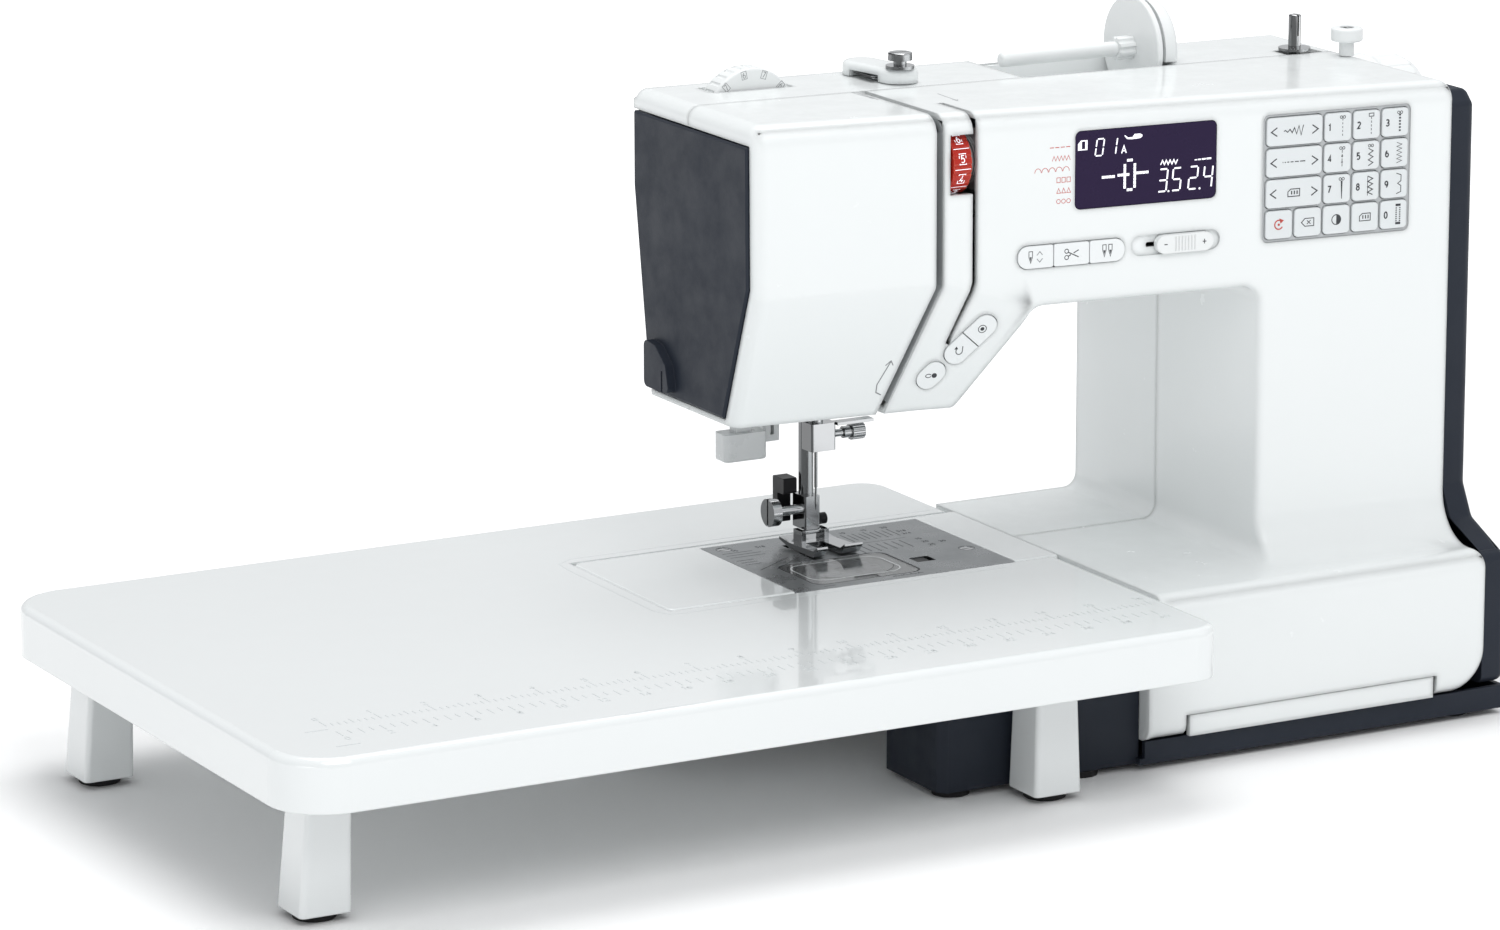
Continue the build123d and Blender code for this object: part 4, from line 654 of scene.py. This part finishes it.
# ------------------------------------------------------------------ needle plate and bobbin cover markings
a = Art(BEDF, -0.01, 0.03)
lw = .38
for i, x in enumerate((16.6, 19.6, 22.6, 25.6, 28.6, 31.6, 34.6, 37.6, 40.8, 44.0, 47.2)):
    a.stroke([(x, 17.0 if i % 2 == 0 else 15.4), (x, 3.4 if i % 2 == 0 else 5.0)], lw)
for i, x in enumerate((16.8, 21.0, 25.2, 29.4, 33.6, 37.8, 42.0)):
    a.stroke([(x, -4.4), (x, -17.6 if i % 2 == 0 else -15.4)], lw)
a.stroke([(16.8, -1.0), (47.2, -1.0)], .2)
a.text("10", 24.0, 19.0, 2.4, .34)
a.text("15", 35.4, 19.0, 2.4, .34)
a.text("20", 46.0, 19.0, 2.4, .34)
a.text("5/8", 49.6, 9.6, 2.3, .34)
a.text("3/4", 49.6, 4.6, 2.3, .34)
a.text("15", 50.0, -7.2, 2.4, .34)
a.text("20", 50.0, -13.0, 2.4, .34)
a.text("25", 50.0, -19.4, 2.4, .34)
a.text("30", 57.4, -16.2, 2.4, .34)
# left: guide lines and two long slanting ones
for y in (4.2, 8.2, 12.2):
    a.stroke([(-42.5, y), (-24.5 if y < 10 else -27, y)], lw)
for y in (-2.0, -6.0, -10.0):
    a.stroke([(-42.5, y), (-34.0, y)], lw)
a.stroke([(-41.0, -21.5), (-18.0, -6.4)], lw)
a.stroke([(-33.5, -23.5), (-14.5, -9.6)], lw)
a.text("15", -35.6, 14.4, 2.4, .34)
a.text("5/8", -22.5, 15.4, 2.3, .34)
# round the needle hole and the bobbin cover's front edge
a.stroke([(-30, -61.2), (-24, -61.2)], lw)
a.stroke([(6, -61.0), (22, -61.0)], lw)
for x in (8, 12, 16, 20):
    a.stroke([(x, -61.0), (x, -59.6)], lw)
a.circle(-37.5, 20, 3.75, .22, 26)
a.circle(62.0, -32.0, 3.75, .22, 26)
a.done("plate_etching", "machine", ETCH_AND_SHADE)

CAPF = Face((0, 0, BED - .1), (1, 0, 0), (0, 1, 0))
a = Art(CAPF, 0.0, 0.03)
a.stroke(arc(-4, -38, 22, 15, 190, 350, 16), .22)
a.stroke([(-9.4, -35), (-5, -35)], .3)
a.poly([(-5, -34.1), (-3.2, -35), (-5, -35.9)])
a.circle(4.5, -31.5, 1.1, .25, 14)
a.done("bobbin_cover_marks", "bobbin_lid", ETCH_AND_SHADE)

# rim line and finger recess of the clear cover, drawn as painted shade: a dark line round the rim and a grey one round
# the recess stand for the clear plastic's dark edges
a = Art(CAPF, 0.0, 0.05)


def rr_path(x0, x1, y0, y1, r):
    return (arc(x1 - r, y1 - r, r, r, 0, 90, 6) + arc(x0 + r, y1 - r, r, r, 90, 180, 6)
            + arc(x0 + r, y0 + r, r, r, 180, 270, 6) + arc(x1 - r, y0 + r, r, r, 270, 360, 6))


a.stroke(rr_path(-31.8, 23.8, -57.8, -18.2, 5.6), .42, True)
a.done("bobbin_cover_rim", "bobbin_lid", ETCH_AND_SHADE)
a = Art(CAPF, 0.0, 0.05)
a.stroke(rr_path(-28.6, 18.4, -51.4, -22.0, 7.5), .5, True)
a.done("bobbin_cover_inner_edge", "bobbin_lid", RAISED_PAINTED_SHADE)

# ------------------------------------------------------------------ double ruler raised on the table's top, in a grey darker than the white table: painted shade that makes the raised marks read
a = Art(BEDF, -0.02, 0.14)
X0, X1 = -324.0, 82.4
k = 0
for i in range(0, 129):
    x = X0 + i * 3.175
    h = 8.0 if i % 8 == 0 else (5.4 if i % 4 == 0 else 3.4)
    a.stroke([(x, -160.2), (x, -160.2 + h)], .5)
for i in range(0, 17):
    s = str(i)
    a.text(s, X0 + i * 25.4 - (1.0 if i < 10 else 2.4), -150.4, 4.0, .55)
for i in range(0, 41):
    x = X0 + i * 10
    a.stroke([(x, -176.4), (x, -169.4)], .5)
    if i < 40:
        a.stroke([(x + 5, -174.4), (x + 5, -169.4)], .5)
    if i % 2 == 0:
        a.text(str(i), x - (1.0 if i < 10 else 2.5), -182.6, 4.0, .55)
a.stroke([(X0 - 12, -164.6), (X0 - 1.5, -164.6)], .6)
a.stroke([(X0 - 9.5, -190.0), (X0 + 1.5, -190.0)], .6)
a.done("table_ruler", "table", RAISED_PAINTED_SHADE)

# shallow grey line round the table's insert for the free arm, painted shade marking its lit edge
a = Art(BEDF, -0.02, 0.05)
a.stroke([(84.6, 38.6), (-108, 38.6), (-116.5, 33.0), (-117.6, 20), (-117.6, -62), (-114, -70.2), (-108, -71.4), (60, -71.4)], .7)
a.done("table_insert_edge", "table", RAISED_PAINTED_SHADE)

# ------------------------------------------------------------------ threading marks on the head
TOPS = -(299.5 - 294.8) / 350.0
TOPF = Face((0, 0, 299.5 + 79 * TOPS), (1, 0, TOPS), (0, 1, 0))
a = Art(TOPF, 0.0, 0.04)
a.stroke([(5.4, -43.0), (4.4, -25.2), (6.4, -25.2), (6.0, -46.5)], .42)
a.stroke([(4.6, -40.6), (5.35, -43.4), (6.0, -40.8)], .36)
a.stroke([(38.0, -44.5), (37.0, -64.0)], .42)
a.stroke([(35.9, -60.9), (37.0, -64.2), (38.5, -61.1)], .36)
a.done("threading_marks_top", "machine", INKGREY)

# drawn flat in x and z, then laid on the head cover's lower front
hm = N["head_cover"].data
tree = BVHTree.FromPolygons([v.co.copy() for v in hm.vertices], [tuple(p.vertices) for p in hm.polygons])
FLATF = Face((0, -200, 0), (1, 0, 0), (0, 0, 1))
a = Art(FLATF, 0.0, 0.04)
a.stroke([(-9.5, 170.2), (-12.2, 171.6), (-12.4, 175.4), (-7.6, 186.2)], .5)
a.stroke([(-9.9, 184.6), (-7.5, 186.7), (-6.1, 184.4)], .45)
missed = []
for v in a.bm.verts:
    lift = 0.00006 if v.co.y * 1000 - DY < -200.02 else 0.0
    hit, nrm, _i, _d = tree.ray_cast(Vector((v.co.x, -0.5, v.co.z)), Vector((0, 1, 0)))
    if hit is not None:
        v.co = hit + (nrm if nrm.y < 0 else -nrm) * (lift + 0.00001)
    else:
        missed.append(v)
bmesh.ops.delete(a.bm, geom=missed, context="VERTS")
a.done("threading_mark_front", "machine", INKGREY)


# lining of the thread slots: thin walls just behind the covers' edges, coloured grey as painted shade inside the slots
def slot_wall(name, xs, path, depth0, depth1, mat):
    """A thin wall that follows path (x shift, y, z, inward y, inward z) behind a slot's edge. xs are its two x offsets."""
    bm = bmesh.new()
    rows = []
    for sx, y, z, iy, iz in path:
        q = [bm.verts.new(W(sx + dx, y + iy * dd, z + iz * dd)) for dx, dd in ((xs[0], depth0), (xs[1], depth0), (xs[1], depth1), (xs[0], depth1))]
        rows.append(q)
    for i in range(len(rows) - 1):
        for j in range(4):
            bm.faces.new((rows[i][j], rows[i][(j + 1) % 4], rows[i + 1][(j + 1) % 4], rows[i + 1][j]))
    bm.faces.new(rows[0][::-1])
    bm.faces.new(rows[-1])
    bmesh.ops.recalc_face_normals(bm, faces=bm.faces)
    me = bpy.data.meshes.new(name)
    bm.to_mesh(me)
    bm.free()
    o = bpy.data.objects.new(name, me)
    bpy.context.scene.collection.objects.link(o)
    me.materials.append(mat)
    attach(o, "machine")
    return o


def slot_path(x, x_low):
    fy = front_y(x)
    out = [(x, -28.0, 298.2, 0, -1), (x, fy + 9, 298.2, 0, -1)]
    for i in range(1, 5):
        t = math.radians(90 * i / 5)
        out.append((x, fy + 9 - 9 * math.sin(t), 289.2 + 9 * math.cos(t), math.sin(t), -math.cos(t)))
    out += [(x, fy, 289.2, 1, 0), (x, fy, 226.0, 1, 0), (x, fy + .3, 220.0, .98, .18), (x_low, fy + 18.9, 164.6, .95, .3)]
    return out


slot_wall("take_up_slot_right_wall", (0.0, 0.8), slot_path(12.0, -4.9), 2.7, 17, SLOT_WALL_SHADE)
slot_wall("take_up_slot_left_wall", (-0.8, 0.0), slot_path(8.0, -8.9), 2.7, 17, SLOT_WALL_SHADE)

# pre-guide springs under the thread guide's left edge: two bent strips with turned-up lips
bm = bmesh.new()
for dz, ex in ((0.0, 0.0), (0.75, 0.7)):
    prof = [(25.6 - ex, 300.15 + dz), (26.4, 299.75 + dz), (30.2, 299.75 + dz), (30.2, 300.05 + dz), (26.5, 300.05 + dz), (25.8 - ex, 300.45 + dz)]
    v0 = [bm.verts.new(W(x, -6.6, z)) for x, z in prof]
    v1 = [bm.verts.new(W(x, 10.6, z)) for x, z in prof]
    for i in range(len(prof)):
        bm.faces.new((v0[i], v0[(i + 1) % len(prof)], v1[(i + 1) % len(prof)], v1[i]))
    bm.faces.new(v0[::-1])
    bm.faces.new(v1)
bmesh.ops.recalc_face_normals(bm, faces=bm.faces)
me = bpy.data.meshes.new("guide_springs")
bm.to_mesh(me)
bm.free()
o = bpy.data.objects.new("guide_springs", me)
bpy.context.scene.collection.objects.link(o)
me.materials.append(STEEL)
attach(o, "machine")

# lid of the base's hollow front foot, let in just under its rim, with a stepped middle
bm = bmesh.new()
steps = [(0.25, 47.4), (0.25, 49.0), (0.9, 49.4), (7.0, 49.4), (7.6, 48.9), (9.0, 48.9)]
out = [(-16.4, -142), (-14, -144.4), (82, -144.4), (82, -97.6), (-14, -97.6), (-16.4, -100)]
cxl, cyl = 32.8, -121.0
rings = []
for off, z in steps:
    fx_, fy_ = (49.2 - off) / 49.2, (23.4 - off) / 23.4
    rings.append([bm.verts.new(W(cxl + (x - cxl) * fx_, cyl + (y - cyl) * fy_, z)) for x, y in out])
for q in range(len(rings) - 1):
    for i in range(6):
        bm.faces.new((rings[q][i], rings[q][(i + 1) % 6], rings[q + 1][(i + 1) % 6], rings[q + 1][i]))
bm.faces.new(rings[-1])
bm.faces.new(rings[0][::-1])
bmesh.ops.recalc_face_normals(bm, faces=bm.faces)
me = bpy.data.meshes.new("front_foot_lid")
bm.to_mesh(me)
bm.free()
o = bpy.data.objects.new("front_foot_lid", me)
bpy.context.scene.collection.objects.link(o)
me.materials.append(DARK)
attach(o, "machine")

# ------------------------------------------------------------------ dial numerals
# foot pressure dial: boxed numerals round its front rim
DF = Face((-32, 2.0, 286), (1, 0, 0), (0, 0, 1))
a = Art(DF, 0.0, 0.04)
for i in range(12):
    t = math.radians(i * 30 + 12)
    cx, cz = 19.9 * math.sin(-t + math.radians(0)), 19.9 * math.cos(t)
    ux, uz = math.cos(t), math.sin(t)

    def rot(px, pz):
        return (cx + px * ux - pz * uz, cz + px * uz + pz * ux)
    d_ = GLYPHS[str((6 + i) % 10)]
    for path, closed in d_[1]:
        a.stroke([rot((px - d_[0] / 2) * 2.5, (pz - .5) * 2.5) for px, pz in path], .3, closed)
    a.stroke([rot(-1.3, -1.8), rot(1.3, -1.8), rot(1.3, 1.8), rot(-1.3, 1.8)], .22, True)
a.done("pressure_dial_numerals", "pressure", INKGREY)

# thread tension dial: printed numerals wrapped round the red rim, in the display segments' glowing finish, so their
# glow is painted light
bm = bmesh.new()
RD, CY, CZ = 15.02, -82.6, 275.4


def rim(px, ang, h):
    rr = RD + h
    return W(20.2 + px, CY - rr * math.cos(ang), CZ + rr * math.sin(ang))


def rim_stroke(pts, w, closed=False):
    art = Art(BEDF)
    art.stroke([(p[0], p[1]) for p in pts], w, closed)
    art.bm.verts.ensure_lookup_table()
    vmap = {}
    for v in art.bm.verts:
        x, y = v.co.x * 1000 - DX, v.co.y * 1000 - DY
        h = .04 if v.co.z * 1000 > BED + .025 else 0.0
        vmap[v.index] = bm.verts.new(rim(x, y / RD, h))
    for f in art.bm.faces:
        bm.faces.new([vmap[v.index] for v in f.verts])
    art.bm.free()


def index_art(art):
    art.bm.verts.index_update()


_old = Art.stroke


def stroke_indexed(self, *k, **kw):
    _old(self, *k, **kw)
    self.bm.verts.index_update()


Art.stroke = stroke_indexed
for i in range(10):
    y0 = (i - 5) * (2 * math.pi * RD / 10) + 3.0
    d_ = GLYPHS[str(i)]
    for path, closed in d_[1]:
        rim_stroke([((px - d_[0] / 2) * 3.2, y0 + (pz - .5) * 3.2) for px, pz in path], .42, closed)
    rim_stroke([(-1.7, y0 - 2.4), (1.7, y0 - 2.4), (1.7, y0 + 2.4), (-1.7, y0 + 2.4)], .3, True)
    rim_stroke([(-4.0, y0 + 4.7), (4.0, y0 + 4.7)], .3)
Art.stroke = _old
bmesh.ops.recalc_face_normals(bm, faces=bm.faces)
me = bpy.data.meshes.new("tension_dial_numerals")
bm.to_mesh(me)
bm.free()
o = bpy.data.objects.new("tension_dial_numerals", me)
bpy.context.scene.collection.objects.link(o)
me.materials.append(SEGMENT)
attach(o, "tension")

# ------------------------------------------------------------------ camera, floor and light
cam = bpy.data.cameras.new("camera")
cam_o = bpy.data.objects.new("camera", cam)
bpy.context.scene.collection.objects.link(cam_o)
yaw, pitch, roll = 0.5010046, 0.2375273, -0.00224
d = Vector((math.sin(yaw) * math.cos(pitch), math.cos(yaw) * math.cos(pitch), -math.sin(pitch)))
r = Vector((math.cos(yaw), -math.sin(yaw), 0))
u = r.cross(d)
r2 = r * math.cos(roll) + u * math.sin(roll)
u2 = -r * math.sin(roll) + u * math.cos(roll)
M = Matrix((r2, u2, -d)).transposed().to_4x4()
M.translation = W(-1393.018, -2480.598, 809.348)
cam_o.matrix_world = M
cam.sensor_width = 36
cam.sensor_fit = "HORIZONTAL"
cam.lens = 36 * 6346.27 / 1500
cam.clip_end = 50
bpy.context.scene.camera = cam_o

bm = bmesh.new()
R_, seg = 5.0, 64
c0 = bm.verts.new((0, 0, 0))
ring = [bm.verts.new((R_ * math.cos(2 * math.pi * i / seg), R_ * math.sin(2 * math.pi * i / seg), 0)) for i in range(seg)]
for i in range(seg):
    bm.faces.new((c0, ring[i], ring[(i + 1) % seg]))
me = bpy.data.meshes.new("floor")
bm.to_mesh(me)
bm.free()
floor = bpy.data.objects.new("floor", me)
bpy.context.scene.collection.objects.link(floor)
floor.data.materials.append(surface("studio_floor", (0.97, 0.97, 0.97), 0.9, vary=0.0, grain=0.0, spec=0.0, round_r=0, rvary=0.0))
# painted light: the floor glows more the farther it lies from the middle, none within 0.55 m and up to strength 0.55
# at 1.8 m, so the far floor reads white
fnt = floor.data.materials[0].node_tree
ftc = add(fnt, "ShaderNodeTexCoord")
fl = add(fnt, "ShaderNodeVectorMath", operation="LENGTH")
lnk(fnt, ftc.outputs["Object"], fl.inputs[0])
fp = fnt.nodes["Principled BSDF"]
fp.inputs["Emission Color"].default_value = (1, 1, 1, 1)
lnk(fnt, remap(fnt, fl.outputs["Value"], 0.0, 0.55, .55, 1.8), fp.inputs["Emission Strength"])

world = bpy.data.worlds.new("studio")
bpy.context.scene.world = world
world.use_nodes = True
world.node_tree.nodes["Background"].inputs["Color"].default_value = (0.97, 0.985, 1.0, 1)
world.node_tree.nodes["Background"].inputs["Strength"].default_value = 0.62
bpy.context.scene.view_settings.view_transform = "Standard"


def area(name, loc, target, size, power, color=(1, 1, 1), size_y=None):
    l = bpy.data.lights.new(name, "AREA")
    l.energy, l.size, l.color = power, size, color
    if size_y:
        l.shape, l.size_y = "RECTANGLE", size_y
    o = bpy.data.objects.new(name, l)
    bpy.context.scene.collection.objects.link(o)
    o.location = loc
    o.rotation_mode = "QUATERNION"
    o.rotation_quaternion = (Vector(target) - Vector(loc)).to_track_quat("-Z", "Y")
    return o


area("key_light", (-0.25, -1.6, 2.1), (0, 0, 0.1), 1.6, 21)
area("fill_light", (1.9, -1.5, 1.2), (0.1, 0, 0.15), 1.2, 2)
area("low_light", (-2.2, -1.2, 0.22), (-0.1, 0, 0.04), 1.3, 3.5, size_y=0.3)
area("top_light", (0.2, 0.5, 2.2), (0, 0, 0.1), 1.4, 24)
